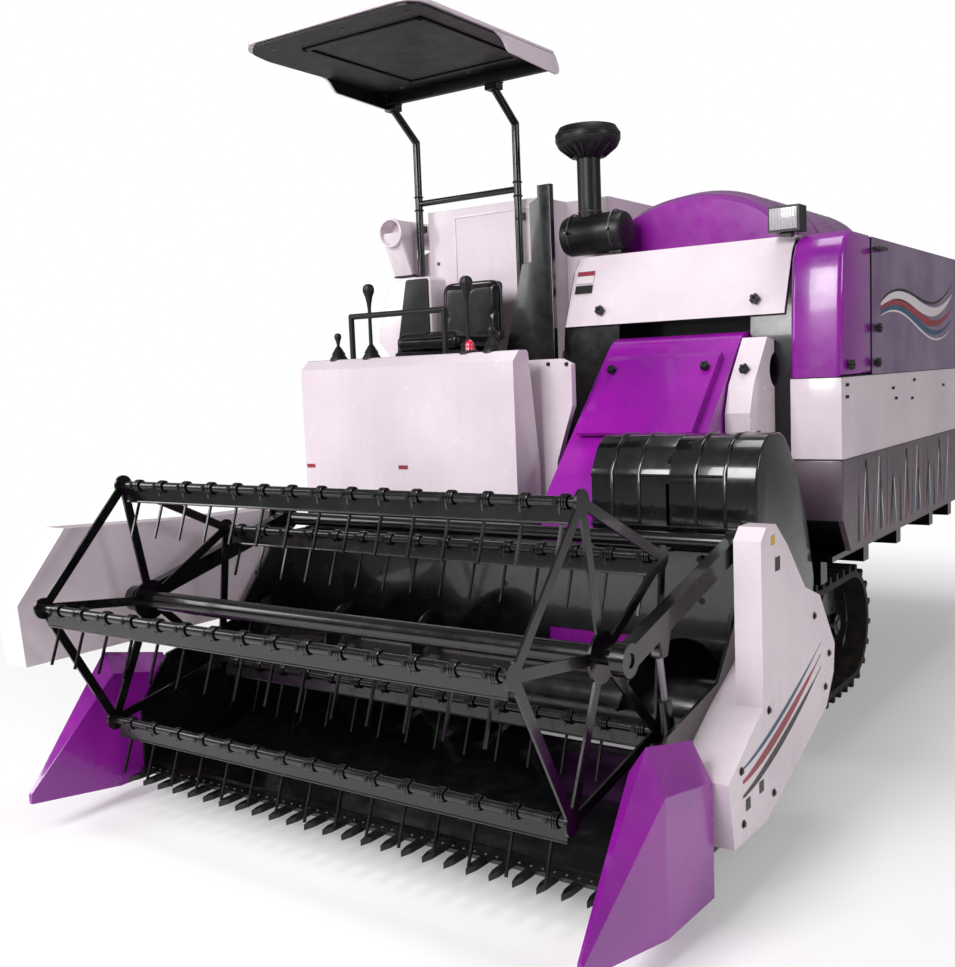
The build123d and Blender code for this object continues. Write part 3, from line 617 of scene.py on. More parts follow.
@dataclass
class Bodywork:
    """Sheet metal of the threshing body: leaning front, hood, corner, dome and duct panel.

    Outlines are in mm: Y behind the tips and Z, or X and Z for the duct.
    """

    inlet: tuple[float, float] = (0.154, 0.706)
    inner: tuple[float, float] = (-0.100, 1.030)
    pivot: tuple[float, float] = (1.985, 1.450)
    bearing: tuple[float, float] = (0.060, 0.050)
    cheek: tuple[Place, ...] = ((1970, 890), (2060, 770), (3980, 770), (3980, 1940), (2125, 1940),
                                (2075, 1878), (1986, 1650), (1976, 1560), (1970, 1400))
    middle: tuple[Place, ...] = ((2190, 770), (3980, 770), (3980, 1940), (2125, 1940), (2075, 1878),
                                 (1990, 1660), (2190, 1660))
    hood: tuple[Place, ...] = ((1974, 1655), (2066, 1885), (2120, 1948), (2225, 1948), (2225, 1941),
                               (2124, 1941), (2072, 1882), (1981, 1655))
    corner: tuple[Place, ...] = ((1960, 1415), (2343, 1415), (2343, 1945), (2100, 1945), (2030, 1910),
                                 (1995, 1850), (1975, 1695))
    duct: tuple[Place, ...] = ((-345, 1563), (-250, 1563), (-250, 962), (-104, 962), (-104, 2235),
                               (-165, 2235), (-165, 2185), (-205, 2165), (-205, 1930), (-250, 1925))
    dome: tuple[float, float] = (-0.085, 0.685)
    dome_foot: float = 1.930
    dome_rises: tuple[Place, ...] = ((2.360, 0.235), (2.400, 0.262), (2.530, 0.290), (3.539, 0.290),
                                     (3.640, 0.230), (3.719, 0.120))

    def build(self) -> None:
        """Make the pieces that stand for the plain solids, the front plates and the duct panel."""
        self.thresher()
        hood = Shape("hood_sheet").prism(self.hood, -0.090, 0.838)
        hood.instead("chassis", "white_paint", "hood_front")
        corner = Shape("corner_shell").prism(self.corner, 0.860, BODY_LEFT, bevel=0.020)
        corner.instead("chassis", "purple_paint", "corner_cover")
        fronts = (("front_mid", 1.1170, 1.4125, "white_paint"),
                  ("front_low", 0.8920, 1.1125, "grey_panel"))
        for name, foot, head, finish in fronts:
            plate = Shape(name)
            plate.block((0.862, BODY_FRONT - 0.010, foot), (1.0495, BODY_FRONT + 0.001, head), 0.003)
            plate.done("chassis", finish)
        dome = Shape("drum_dome").arch(self.dome, self.dome_foot, self.dome_rises)
        dome.instead("chassis", "purple_paint", "drum_cover")
        duct = Shape("duct_panel").prism(self.duct, 1.905, 1.935, "Y", bevel=0.003)
        duct.done("chassis", "black_paint")

    def thresher(self) -> None:
        """Make the body with its leaning front, inlet and pivot bearings."""
        left, right = self.inlet
        radius, length = self.bearing
        y, z = self.pivot
        body = Shape("thresher_shell")
        body.prism(self.cheek, self.inner[0], left)
        body.prism(self.cheek, right, self.inner[1])
        body.prism(self.middle, left, right)
        for start, end in ((left - length, left), (right, right + length)):
            body.bar((start, tip(y), z), (end, tip(y), z), radius, sides=32)
        body.instead("chassis", "black_paint", "thresher_body")


@dataclass
class Canopy:
    """Roof of the operator's place: crowned shell, black liner, skirts and cross bar; black sheets on the
    skirts' inner faces are painted shade.

    The skirt's outline is Y behind the tips and Z in mm, each recess line X, width, Y and length in mm.
    """

    side: tuple[float, float] = (-1.010, -0.110)
    skirt: tuple[Place, ...] = ((1550, 2762), (1610, 2744), (1650, 2702), (2020, 2686), (2026, 2712),
                                (1995, 2762))
    recess: tuple[Place, ...] = ((-780, 580, 1215, 22), (-780, 580, 1868, 22), (-780, 22, 1215, 675),
                                 (-222, 22, 1215, 675))

    def plan(self, inset: float) -> tuple[Place, ...]:
        """Corners of the roof seen from above, each corner cut to a slope.

        Args:
            inset: Distance inside the shell's edge, mm.

        Returns:
            The corners in mm.
        """
        low, high = self.side[0] / MM + inset, self.side[1] / MM - inset
        front, rear = 1060 + inset, 2035 - inset
        return ((low + 110, front), (high - 60, front), (high - 15, front + 22), (high, front + 75),
                (high, rear - 40), (high - 40, rear), (low + 40, rear), (low, rear - 40),
                (low, front + 180), (low + 28, front + 65))

    def build(self) -> None:
        """Make the pieces."""
        shell = Shape("roof_shell")
        shell.prism(self.plan(0), 2.760, 2.772, "Z", corner=0.030)
        shell.prism(self.plan(45), 2.770, 2.785, "Z", corner=0.030, bevel=0.010)
        shell.prism(self.plan(110), 2.783, 2.7995, "Z", corner=0.030, bevel=0.010)
        low, high = self.side
        shell.prism(self.skirt, low, low + 0.010, corner=0.014)
        shell.prism(self.skirt, high - 0.010, high, corner=0.014)
        shell.instead("chassis", "white_paint", "roof")
        liner_and_shade = Shape("roof_liner_and_skirt_shade")
        liner_and_shade.prism(self.plan(12), ROOF_UNDER, 2.7605, "Z", corner=0.030)
        for x, width, y, length in self.recess:
            liner_and_shade.block((x * MM, tip(y * MM), 2.742), ((x + width) * MM, tip((y + length) * MM), 2.7505),
                        0.003)
        liner_and_shade.block((-0.990, tip(1.985), 2.705), (-0.130, tip(2.015), 2.7505), 0.004)
        # Black sheets on the skirts' inner faces: painted shade, where the inside of the white skirts lies in
        # shadow
        for x in (low + 0.0100, high - 0.0130):
            liner_and_shade.prism(self.skirt, x, x + 0.0030, corner=0.014)
        liner_and_shade.done("chassis", "black_matte")


@dataclass
class HoodTrim:
    """Knobs, plate and lamp face of the front hood, and bolts and ribs on the top of the body."""

    knob_r: float = 0.021
    knob_x: tuple[float, float] = (0.068, 0.724)
    plate_x: tuple[float, float] = (-0.070, 0.010)
    lean: tuple[float, float] = (0.092, 0.230)
    rib_y: tuple[float, ...] = (2.62, 2.90, 3.18, 3.46)
    rib_middle: float = 0.300
    rib_reach: float = 0.387
    rib_foot: float = 1.932
    rib_rise: float = 0.290

    def on_hood(self, x: float, z: float, proud: float = 0.0) -> Vector:
        """Place on the hood's leaning face.

        Args:
            x: Across the machine.
            z: Height.
            proud: Distance out of the face.

        Returns:
            The point.
        """
        run, rise = self.lean
        out = Vector((0, -rise, run)).normalized()
        base = Vector((x, BODY_FRONT + 0.004 + (z - 1.655) * run / rise, z))
        return base + out * (0.004 + proud)

    def build(self) -> None:
        """Make the pieces."""
        out = Vector((0, -self.lean[1], self.lean[0])).normalized()
        knobs = Shape("hood_knobs")
        for x in self.knob_x:
            knobs.star(self.on_hood(x, 1.709), out, self.knob_r)
        knobs.done("chassis", "knob")
        for name, z, height, finish in (("hood_plate", 1.846, 0.034, "white_print"),
                                        ("hood_plate_band", 1.872, 0.020, "red_print"),
                                        ("hood_plate_foot", 1.806, 0.036, "black_print")):
            plate = Shape(name)
            ends = [self.on_hood(x, z, 0.0006) for x in self.plate_x]
            plate.ribbon(ends, (height, height), Vector((0, self.lean[0], self.lean[1])).normalized())
            plate.done("chassis", finish)
        self.lamp()
        self.bolts()

    def lamp(self) -> None:
        """Put a ribbed lens and its rim into the work lamp."""
        low, high = (Vector(corner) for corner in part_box("work_lamp"))
        face_low = Vector((low.x + 0.008, low.y - 0.005, high.z - 0.087))
        face_high = Vector((high.x - 0.008, low.y + 0.002, high.z - 0.008))
        Shape("lamp_lens").block(face_low, face_high, 0.002).done("chassis", "lens")
        ribs = Shape("lamp_ribs")
        for index in range(9):
            x = face_low.x + 0.008 + index * (face_high.x - face_low.x - 0.016) / 8
            ribs.bar((x, face_low.y, face_low.z + 0.006), (x, face_low.y, face_high.z - 0.006), 0.0016,
                     sides=8)
        ribs.done("chassis", "lens")

    def bolts(self) -> None:
        """Set two rows of bolts along the top sheet and lay the dome's ribs."""
        bolts = Shape("top_sheet_bolts")
        for index in range(9):
            for x in (0.95, 0.735):
                bolts.hex_head((x, tip(2.45) + index * 0.17, 1.940), (0, 0, 1), 0.0065)
        bolts.done("chassis", "bolt")
        bands = Shape("dome_ribs")
        for y in self.rib_y:
            path = []
            for step in range(33):
                angle = math.radians(6 + 168 * step / 32)
                path.append((self.rib_middle - self.rib_reach * math.cos(angle), tip(y),
                             self.rib_foot + self.rib_rise * math.sin(angle) ** 0.8))
            bands.ribbon(path, [0.026] * 33, (0, 1, 0))
        bands.done("chassis", "purple_paint")


@dataclass
class SideTrim:
    """Latches, knobs, handle, seams and stripes of the left side, placed by Y behind the tips and Z."""

    skin: float = 0.0007
    latches: tuple[Place, ...] = ((2.024, 1.384), (2.023, 1.341), (2.647, 1.353), (2.693, 1.310),
                                  (2.988, 1.377), (2.953, 1.300), (3.532, 1.339))
    door_knobs: tuple[Place, ...] = ((2.400, 1.593), (2.385, 1.459))

    def build(self) -> None:
        """Make the pieces."""
        x = BODY_LEFT
        latches = Shape("panel_latches")
        for y, z in self.latches:
            latches.block((x - 0.001, tip(y) - 0.016, z - 0.006), (x + 0.004, tip(y) + 0.016, z + 0.006),
                          0.002)
            latches.hex_head((x + 0.003, tip(y), z), (1, 0, 0), 0.004)
        latches.done("chassis", "knob")
        corner_knob = Shape("corner_knob")
        corner_knob.star((x, tip(2.040), 1.456), (1, 0, 0), 0.020)
        corner_knob.done("chassis", "knob")
        door_knobs = Shape("door_knobs")
        for y, z in self.door_knobs:
            door_knobs.star((x, tip(y), z), (1, 0, 0), 0.020)
        door_knobs.done("side_door", "knob")
        handle = Shape("door_handle")
        for y in (2.375, 2.455):
            handle.bar((x, tip(y), 1.895), (x + 0.026, tip(y), 1.895), 0.007)
        handle.bar((x + 0.024, tip(2.368), 1.895), (x + 0.024, tip(2.462), 1.895), 0.008)
        handle.done("side_door", "knob")
        self.seams()
        self.door_waves()
        self.low_streaks()

    def seams(self) -> None:
        """Lay the black strips between the side's panels."""
        seam = Shape("side_seams")
        x = BODY_LEFT
        for z in SEAMS:
            seam.block((x - 0.012, BODY_FRONT - 0.008, z - 0.0014),
                       (x + 0.0012, tip(3.977), z + 0.0014))
            front = BODY_FRONT - (0.0112 if z > 1.2 else 0.0012)
            seam.block((0.852, front, z - 0.0014), (x, BODY_FRONT + 0.004, z + 0.0014))
        seam.block((x - 0.014, tip(2.3440), 1.416), (x - 0.001, tip(2.3470), 1.936))
        seam.done("chassis", "gasket")

    def door_waves(self) -> None:
        """Run generic waves of white, red and blue film across the door."""
        bands = (("door_wave_white", 0.000, 0.046, "white_print"),
                 ("door_wave_red", -0.052, 0.034, "red_print"),
                 ("door_wave_blue", -0.094, 0.024, "blue_print"),
                 ("door_wave_thin", -0.124, 0.010, "white_print"),
                 ("door_wave_dark", 0.040, 0.014, "black_print"))
        for name, offset, width, finish in bands:
            path, widths = [], []
            for step in range(41):
                share = step / 40
                rise = 0.19 * share + 0.075 * math.sin(2 * math.pi * (0.15 + 0.85 * share))
                path.append((BODY_LEFT + self.skin, tip(2.47 + 1.36 * share),
                             1.625 + rise + offset * (0.35 + share)))
                widths.append(width * math.sin(math.pi * min(1.0, 0.04 + 1.05 * share)) ** 0.6)
            Shape(name).ribbon(path, widths, (0, 0, 1)).done("side_door", finish)

    def low_streaks(self) -> None:
        """Stand tapered streaks of film on the low panel."""
        colours = ("black_print", "white_print", "red_print", "black_print", "blue_print", "white_print")
        for group, finish in enumerate(colours):
            streaks = Shape(f"low_streaks_{group + 1}")
            for index in range(5):
                y = 2.16 + 0.30 * index + 0.047 * group
                lean = 0.05 * math.sin(3.1 * index + 1.7 * group)
                foot, head = (0.80, 1.09) if (index + group) % 2 else (0.79, 1.00)
                path = [(BODY_LEFT + self.skin, tip(y + lean * share), foot + (head - foot) * share)
                        for share in (0.0, 0.35, 0.7, 1.0)]
                fat = 0.030 if finish == "black_print" else 0.013
                widths = (fat, 0.8 * fat, 0.4 * fat, 0.001)
                if group % 2:
                    widths = (0.002, 0.7 * fat, fat, 0.6 * fat)
                streaks.ribbon(path, widths, (0, 1, 0))
            streaks.done("chassis", finish)


@dataclass
class HeaderTrim:
    """Drive shield, knobs, pads, streaks, bolts and rivets of the header and the feeder house.

    Outlines are in mm, places in metres: Y behind the tips and Z.
    """

    shield: tuple[Place, ...] = ((1240, 870), (1240, 1130), (1290, 1215), (1350, 1250), (1480, 1250),
                                 (1600, 1130), (1700, 950), (1780, 700), (1720, 600), (1335, 600),
                                 (1335, 870))
    lip: tuple[Place, ...] = ((1240, 870), (1240, 1130), (1290, 1215), (1350, 1250), (1472, 1250),
                              (1462, 1215), (1350, 1092), (1316, 1000), (1316, 870))
    rib: tuple[Place, ...] = ((1236, 930), (1236, 1132), (1286, 1219), (1346, 1254), (1440, 1254),
                              (1440, 1240), (1260, 1120), (1260, 930))
    hatch_lean: tuple[float, float] = (0.461, 0.4665)
    hatch_foot: tuple[float, float] = (NOSE + 1.420, 1.085)
    left_bolts: tuple[Place, ...] = ((0.700, 0.240), (0.930, 0.250), (1.400, 0.440), (1.440, 0.540),
                                     (1.300, 0.690), (0.900, 0.500), (0.690, 0.390))
    right_bolts: tuple[Place, ...] = ((0.14, 0.60), (0.14, 0.80), (0.50, 0.90), (0.85, 0.93),
                                      (1.20, 0.85), (1.22, 0.62), (0.70, 0.60))

    def build(self) -> None:
        """Make the pieces."""
        along = Vector((0, *self.hatch_lean)).normalized()
        out = Vector((0, -along.z, along.y))
        slope = Vector((0, *self.hatch_foot))
        knobs = Shape("hatch_knobs")
        for x in (0.245, 0.625):
            knobs.star(slope + Vector((x, 0, 0)) + along * 0.500 + out * 0.035, out, 0.019)
        knobs.done("header", "knob")
        guard_knob = Shape("guard_knob")
        guard_knob.star((0.753, tip(1.800), 1.4490), Vector((0, -0.772, 0.636)), 0.020)
        guard_knob.done("chassis", "knob")
        self.guard_faces()
        self.bolts()
        self.shield_lines()

    def guard_faces(self) -> None:
        """Lay streaks and dark squares on the left guard, and pads on its tower and the feeder guard."""
        x = GUARD_FACE + 0.0007
        bands = (("guard_streak_red", 0.355, 0.030, "red_print"),
                 ("guard_streak_dark", 0.315, 0.026, "black_print"),
                 ("guard_streak_blue", 0.392, 0.016, "blue_print"))
        for name, z, width, finish in bands:
            path, widths = [], []
            for step in range(25):
                share = step / 24
                path.append((x, tip(0.70 + 0.66 * share), z + 0.20 * share ** 1.4))
                widths.append(width * math.sin(math.pi * min(0.98, 0.06 + share)) ** 0.7)
            Shape(name).ribbon(path, widths, (0, 0, 1)).done("header", finish)
        squares = (("tower_dot", "header", x, 0.951, 0.977, 0.028, "yellow_print"),
                   ("tower_square", "header", x, 0.985, 0.905, 0.040, "black_print"),
                   ("guard_square_front", "header", x, 0.735, 0.285, 0.034, "black_print"),
                   ("guard_square_rear", "header", x, 0.835, 0.300, 0.034, "black_print"),
                   ("feeder_square", "chassis", 0.8007, 1.800, 1.215, 0.036, "black_print"))
        for name, body, at_x, y, z, size, finish in squares:
            ends = [(at_x, tip(y) - size / 2, z), (at_x, tip(y) + size / 2, z)]
            Shape(name).ribbon(ends, (size, size), (0, 0, 1)).done(body, finish)

    def bolts(self) -> None:
        """Set bolt heads on the guards, the walls and the trough's rear."""
        bolts = Shape("header_bolts")
        for y, z in self.left_bolts:
            bolts.hex_head((GUARD_FACE, tip(y), z), (1, 0, 0), 0.008)
        for y, z in self.right_bolts:
            bolts.hex_head((-GUARD_FACE, tip(y), z), (-1, 0, 0), 0.008)
        for x in (-0.90, -0.60, -0.30, 0.0, 0.78, 0.93):
            bolts.hex_head((x, tip(1.310), 0.840), (0, -1, 0), 0.008)
            bolts.hex_head((x, tip(1.320), 0.700), (0, 1, 0), 0.008)
        bolts.done("header", "dark_bolt")
        rivets = Shape("knife_rivets")
        for index in range(51):
            rivets.ball((-0.955 + index * 0.0382, tip(0.428), 0.1145), 0.0042, (1, 1, 0.6), 5)
        rivets.done("header", "bolt")

    def shield_lines(self) -> None:
        """Make the moulded black shield with its lip, ribs and clips."""
        shield = Shape("shield_moulding")
        shield.prism(self.shield, 0.690, 1.005, corner=0.045, bevel=0.018)
        shield.prism(self.lip, 0.420, 0.712, corner=0.018, bevel=0.008)
        for x in (0.50, 0.60, 0.80, 0.90):
            shield.prism(self.rib, x - 0.006, x + 0.006, bevel=0.003)
        shield.instead("header", "black_gloss", "drive_shield")
        lip = Shape("shield_lip")
        lip.bar((0.42, tip(1.238), 0.955), (0.96, tip(1.238), 0.955), 0.006, sides=10)
        lip.bar((0.42, tip(1.243), 1.122), (0.90, tip(1.243), 1.122), 0.005, sides=10)
        lip.done("header", "black_gloss")
        clips = Shape("shield_clips")
        for x in (0.47, 0.70, 0.93):
            clips.block((x - 0.016, tip(1.230), 0.895), (x + 0.016, tip(1.242), 0.925), 0.003)
            clips.hex_head((x, tip(1.231), 0.910), (0, -1, 0), 0.006)
        clips.done("header", "bolt")


@dataclass
class ReelTrim:
    """Coil springs and bolts of the tine bars, lips of their bats, and the reel's hub bolts."""

    radius: float = 0.42
    hub_circle: float = 0.052
    first_bar: float = 29.0
    tines: int = 15
    half: float = 0.9
    centre: tuple[float, float] = (NOSE + 0.42, 0.735)

    def bar_place(self, number: int) -> tuple[float, float]:
        """Y and Z of a tine bar at rest, counted from 1."""
        angle = math.radians(self.first_bar + 72 * (number - 1))
        return self.centre[0] + self.radius * math.cos(angle), self.centre[1] + self.radius * math.sin(angle)

    def build(self) -> None:
        """Make the pieces."""
        step = 2 * (self.half - 0.07) / (self.tines - 1)
        for number in range(1, 6):
            y, z = self.bar_place(number)
            coils = Shape(f"tine_springs_{number}")
            heads = Shape(f"tine_bolts_{number}")
            for tine in range(self.tines):
                x = 0.07 - self.half + tine * step
                for turn in range(3):
                    coils.ring((x + 0.014 + 0.0075 * turn, y, z), (1, 0, 0), 0.0185, 0.0034, 12, 6)
                heads.hex_head((x, y - 0.018, z + 0.001), (0, -1, 0), 0.0065)
            coils.done(f"tine_bar_{number}", "spring")
            heads.done(f"tine_bar_{number}", "dark_bolt")
            lips = Shape(f"bat_lip_{number}")
            lips.bar((-0.88, y + 0.004, z - 0.055), (0.88, y + 0.004, z - 0.055), 0.0042, sides=8)
            lips.done(f"tine_bar_{number}", "black_gloss")
        hub = Shape("reel_hub_bolts")
        for side in (-1, 1):
            for lobe in range(6):
                angle = math.radians(60 * lobe)
                y = self.centre[0] + self.hub_circle * math.cos(angle)
                z = self.centre[1] + self.hub_circle * math.sin(angle)
                hub.hex_head((-0.9005 if side < 0 else 0.8915, y, z), (-1, 0, 0), 0.007)
        hub.done("reel_frame", "dark_bolt")


@dataclass
class TrackTrim:
    """Hub caps, rims and bolts of the tracks' wheels and rollers."""

    centre: float = 0.6
    wheels: tuple[tuple[float, float, float], ...] = ((1.73, 0.32, 0.17), (2.92, 0.28, 0.222))
    rollers: tuple[float, ...] = (1.83, 2.02825, 2.2265, 2.42475)
    roller_z: float = 0.133
    bolt_circle: float = 0.072

    def build(self) -> None:
        """Make the pieces."""
        hubs = Shape("wheel_hubs")
        bolts = Shape("wheel_bolts")
        for side in (-1, 1):
            face = side * (self.centre + 0.122)
            for y, z, radius in self.wheels:
                hubs.bar((face - side * 0.012, tip(y), z), (face + side * 0.010, tip(y), z), 0.052,
                         0.046, 28)
                hubs.bar((face + side * 0.010, tip(y), z), (face + side * 0.017, tip(y), z), 0.030,
                         0.022, 20)
                rim = side * (self.centre + 0.110)
                hubs.ring((rim, tip(y), z), (1, 0, 0), radius - 0.010, 0.006, 44)
                for lobe in range(6):
                    angle = math.radians(60 * lobe + 30)
                    spot = (rim, tip(y) + self.bolt_circle * math.cos(angle),
                            z + self.bolt_circle * math.sin(angle))
                    bolts.hex_head(spot, (side, 0, 0), 0.008)
            z = self.roller_z
            for y in self.rollers:
                hubs.bar((face - side * 0.012, tip(y), z), (face + side * 0.004, tip(y), z), 0.030, 0.026, 20)
                hubs.ring((side * (self.centre + 0.110), tip(y), z), (1, 0, 0), 0.060, 0.005, 28)
                bolts.hex_head((face + side * 0.004, tip(y), z), (side, 0, 0), 0.009)
        hubs.done("chassis", "black_gloss")
        bolts.done("chassis", "dark_bolt")


@dataclass
class OperatorTrim:
    """Fittings of the operator's place: stop light, plugs, side box with its pad, mat and levers.

    Outlines are X and Z in mm.
    """

    plugs: tuple[Place, ...] = ((-0.045, 1.503), (0.048, 1.503), (0.128, 1.500), (-0.035, 1.147))
    box: tuple[Place, ...] = ((-1115, 1650), (-1040, 1562), (-797, 1562), (-797, 1925), (-960, 1925),
                              (-1040, 1895))
    pad: tuple[Place, ...] = ((-1000, 1580), (-805, 1580), (-805, 1917), (-930, 1917))
    lever_table: tuple[Place, ...] = (  # X in metres, top and knob radius in mm
        (-0.720, 1860, 24), (-0.230, 1853, 26), (-0.900, 1670, 15), (-0.120, 1655, 15))
    rail_x: tuple[float, float] = (-0.820, -0.340)
    stop: tuple[float, float] = (-0.216, NOSE + 1.458)

    def build(self) -> None:
        """Make the pieces."""
        self.stop_light()
        self.console_faces()
        self.side_place()
        self.levers()
        self.underfoot()

    def stop_light(self) -> None:
        """Set the red stop light with its collar on the console."""
        x, y = self.stop
        stop = Shape("stop_light")
        stop.bar((x, y, 1.560), (x, y, 1.582), 0.021, 0.018, 24)
        stop.ball((x, y, 1.582), 0.0185, (1, 1, 1.5))
        stop.done("chassis", "red_lens")
        collar = Shape("stop_light_collar")
        collar.ring((x, y, 1.564), (0, 0, 1), 0.024, 0.005, 28)
        collar.done("chassis", "knob")

    def console_faces(self) -> None:
        """Put plugs, a seam and marks on the side plate and the console's front."""
        plugs = Shape("plate_plugs")
        for x, z in self.plugs:
            plugs.bar((x, tip(1.601), z), (x, tip(1.592), z), 0.009, 0.006, 14)
        plugs.done("chassis", "knob")
        seam = Shape("console_seam")
        seam.block((-1.046, tip(1.3955), 1.1285), (0.016, tip(1.3985), 1.1325))
        seam.done("chassis", "gasket")
        marks = Shape("console_marks")
        for x in (-1.02, -0.52):
            marks.ribbon([(x - 0.024, tip(1.3945), 1.118), (x + 0.024, tip(1.3945), 1.118)],
                         (0.016, 0.016), (0, 0, 1))
        marks.done("chassis", "red_print")

    def side_place(self) -> None:
        """Stand the box with its pad beside the seat."""
        box = Shape("side_box")
        box.prism(self.box, 1.990, 2.115, "Y", corner=0.020, bevel=0.008)
        box.done("chassis", "white_paint")
        pad = Shape("side_box_pad")
        pad.prism(self.pad, 1.980, 1.992, "Y", corner=0.012, bevel=0.004)
        pad.done("chassis", "black_matte")

    def underfoot(self) -> None:
        """Lay the ribbed mat, the seat's runners and the step's treads."""
        mat = Shape("floor_mat")
        mat.block((-0.98, tip(1.58), 0.960), (0.04, tip(1.90), 0.964), 0.001)
        for index in range(25):
            y = tip(1.60) + index * 0.012
            mat.block((-0.97, y, 0.963), (0.03, y + 0.005, 0.967))
        mat.done("chassis", "gasket")
        seat_low, seat_high = (Vector(corner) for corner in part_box("seat"))
        runners = Shape("seat_runners")
        for x in (seat_low.x + 0.07, seat_high.x - 0.07):
            runners.block((x - 0.012, tip(1.720), 1.5795), (x + 0.012, tip(2.060), 1.5815))
        runners.done("chassis", "dark_bolt")
        treads = Shape("step_treads")
        for index in range(6):
            y = tip(1.50) + index * 0.045
            treads.block((-1.12, y, 0.544), (-0.92, y + 0.010, 0.549), 0.001)
        treads.done("chassis", "dark_bolt")

    def levers(self) -> None:
        """Make the levers with their boots and knobs, and the hand rail."""
        levers = Shape("console_levers")
        y = tip(1.470)
        foot = 1553
        for x, top, knob in self.lever_table:
            height = top - foot
            levers.lathe((x, y, foot * MM), (0, 0, 1), (
                (0, 0), (40, 0), (38, 9), (27, 26), (29, 30), (19, 46), (13, 56), (8, 62),
                (7, height - 4.2 * knob), (0.42 * knob, height - 3.2 * knob),
                (0.62 * knob, height - 2.2 * knob), (0.95 * knob, height - 1.35 * knob),
                (knob, height - 0.8 * knob), (0.8 * knob, height - 0.25 * knob), (0.4 * knob, height),
                (0, height)), 28)
        low, high = self.rail_x
        for x in self.rail_x:
            levers.bar((x, y, 1.555), (x, y, 1.730), 0.012, sides=18)
            levers.ball((x, y, 1.733), 0.0125)
        levers.bar((low, y, 1.733), (high, y, 1.733), 0.012, sides=18)
        levers.instead("chassis", "black_matte", "levers")


@dataclass
class Seat:
    """Vinyl cushion and backrest, blown up by the cloth solver, with piping along their seams."""

    voxel: float = 0.006
    pressure: float = 4.0
    frames: int = 20
    cap: float = 0.012
    piping: float = 0.004
    squareness: float = 0.28

    def build(self) -> None:
        """Make both pads in place of the plain seat."""
        low, high = (Vector(corner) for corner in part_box("seat"))
        cushion = Shape("seat_cushion")
        cushion.block((low.x + 0.008, low.y + 0.006, low.z + 0.004),
                      (high.x - 0.008, high.y - 0.060, 1.652), 0.026, 4)
        back = Shape("seat_backrest")
        back.block((low.x + 0.022, high.y - 0.064, 1.612), (high.x - 0.022, high.y - 0.010, 1.890),
                   0.022, 4)
        self.channels(cushion, Vector((0, 1, 0)), low, high)
        for shape in (cushion, back):
            pad = shape.done("chassis", "seat_cover", 60.0)
            self.puff(pad)
            if shape is cushion:
                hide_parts("seat")
        self.trim(low, high)

    @staticmethod
    def channels(shape: Shape, axis: Vector, low: Vector, high: Vector) -> None:
        """Cut the pad's mesh along two lines.

        Args:
            shape: The pad in the making.
            axis: Direction across the lines.
            low: Lowest corner of the seat.
            high: Its highest corner.
        """
        for share in (0.33, 0.66):
            place = low.lerp(high, share)
            everything = [*shape.mesh.verts, *shape.mesh.edges, *shape.mesh.faces]
            bmesh.ops.bisect_plane(shape.mesh, geom=everything, plane_co=place, plane_no=axis)

    def puff(self, pad: bpy.types.Object) -> None:
        """Blow the pad up from inside and keep each point within the cap.

        Args:
            pad: The piece.
        """
        scene = bpy.context.scene
        remesh = pad.modifiers.new("remesh", "REMESH")
        remesh.mode = "VOXEL"
        remesh.voxel_size = self.voxel
        self.apply(pad)
        start = [vert.co.copy() for vert in pad.data.vertices]
        cloth = pad.modifiers.new("cloth", "CLOTH")
        cloth.settings.quality = 5
        cloth.settings.use_pressure = True
        cloth.settings.uniform_pressure_force = self.pressure
        cloth.settings.effector_weights.gravity = 0.0
        cloth.point_cache.frame_start = 1
        cloth.point_cache.frame_end = self.frames
        for number in range(1, self.frames + 1):
            scene.frame_set(number)
        self.apply(pad)
        floor = min(point.z for point in start)
        for vert, before in zip(pad.data.vertices, start):
            move = vert.co - before
            if move.length > self.cap:
                move *= self.cap / move.length
            vert.co = before + move
            vert.co.z = max(vert.co.z, floor - 0.001)
        scene.frame_set(1)
        smooth = pad.modifiers.new("smooth", "SUBSURF")
        smooth.levels = 1
        smooth.render_levels = 1
        log.info("puffed %s: %d points", pad.name, len(pad.data.vertices))

    @staticmethod
    def apply(pad: bpy.types.Object) -> None:
        """Swap the pad's mesh for what its modifiers make of it.

        Args:
            pad: The piece.
        """
        graph = bpy.context.evaluated_depsgraph_get()
        mesh = bpy.data.meshes.new_from_object(pad.evaluated_get(graph))
        pad.modifiers.clear()
        pad.data = mesh
        for face in mesh.polygons:
            face.use_smooth = True

    def trim(self, low: Vector, high: Vector) -> None:
        """Run the piping round the cushion's top and the backrest's face.

        Args:
            low: Lowest corner of the seat.
            high: Its highest corner.
        """
        runs = (("cushion_piping", (low.x + 0.012, high.x - 0.012), (low.y + 0.010, high.y - 0.066), True),
                ("backrest_piping", (low.x + 0.026, high.x - 0.026), (1.618, 1.884), False))
        for name, across, second, flat in runs:
            piping = Shape(name)
            middle = Vector((sum(across) / 2, sum(second) / 2, 0))
            half = Vector(((across[1] - across[0]) / 2, (second[1] - second[0]) / 2, 0))
            points = []
            power = self.squareness
            for step in range(64):
                angle = 2 * math.pi * step / 64
                u = middle.x + half.x * math.copysign(abs(math.cos(angle)) ** power, math.cos(angle))
                v = middle.y + half.y * math.copysign(abs(math.sin(angle)) ** power, math.sin(angle))
                points.append((u, v, 1.636) if flat else (u, high.y - 0.050, v))
            for start, end in zip(points, points[1:] + points[:1]):
                piping.bar(start, end, self.piping, sides=8)
                piping.ball(start, self.piping, steps=4)
            piping.done("chassis", "gasket")


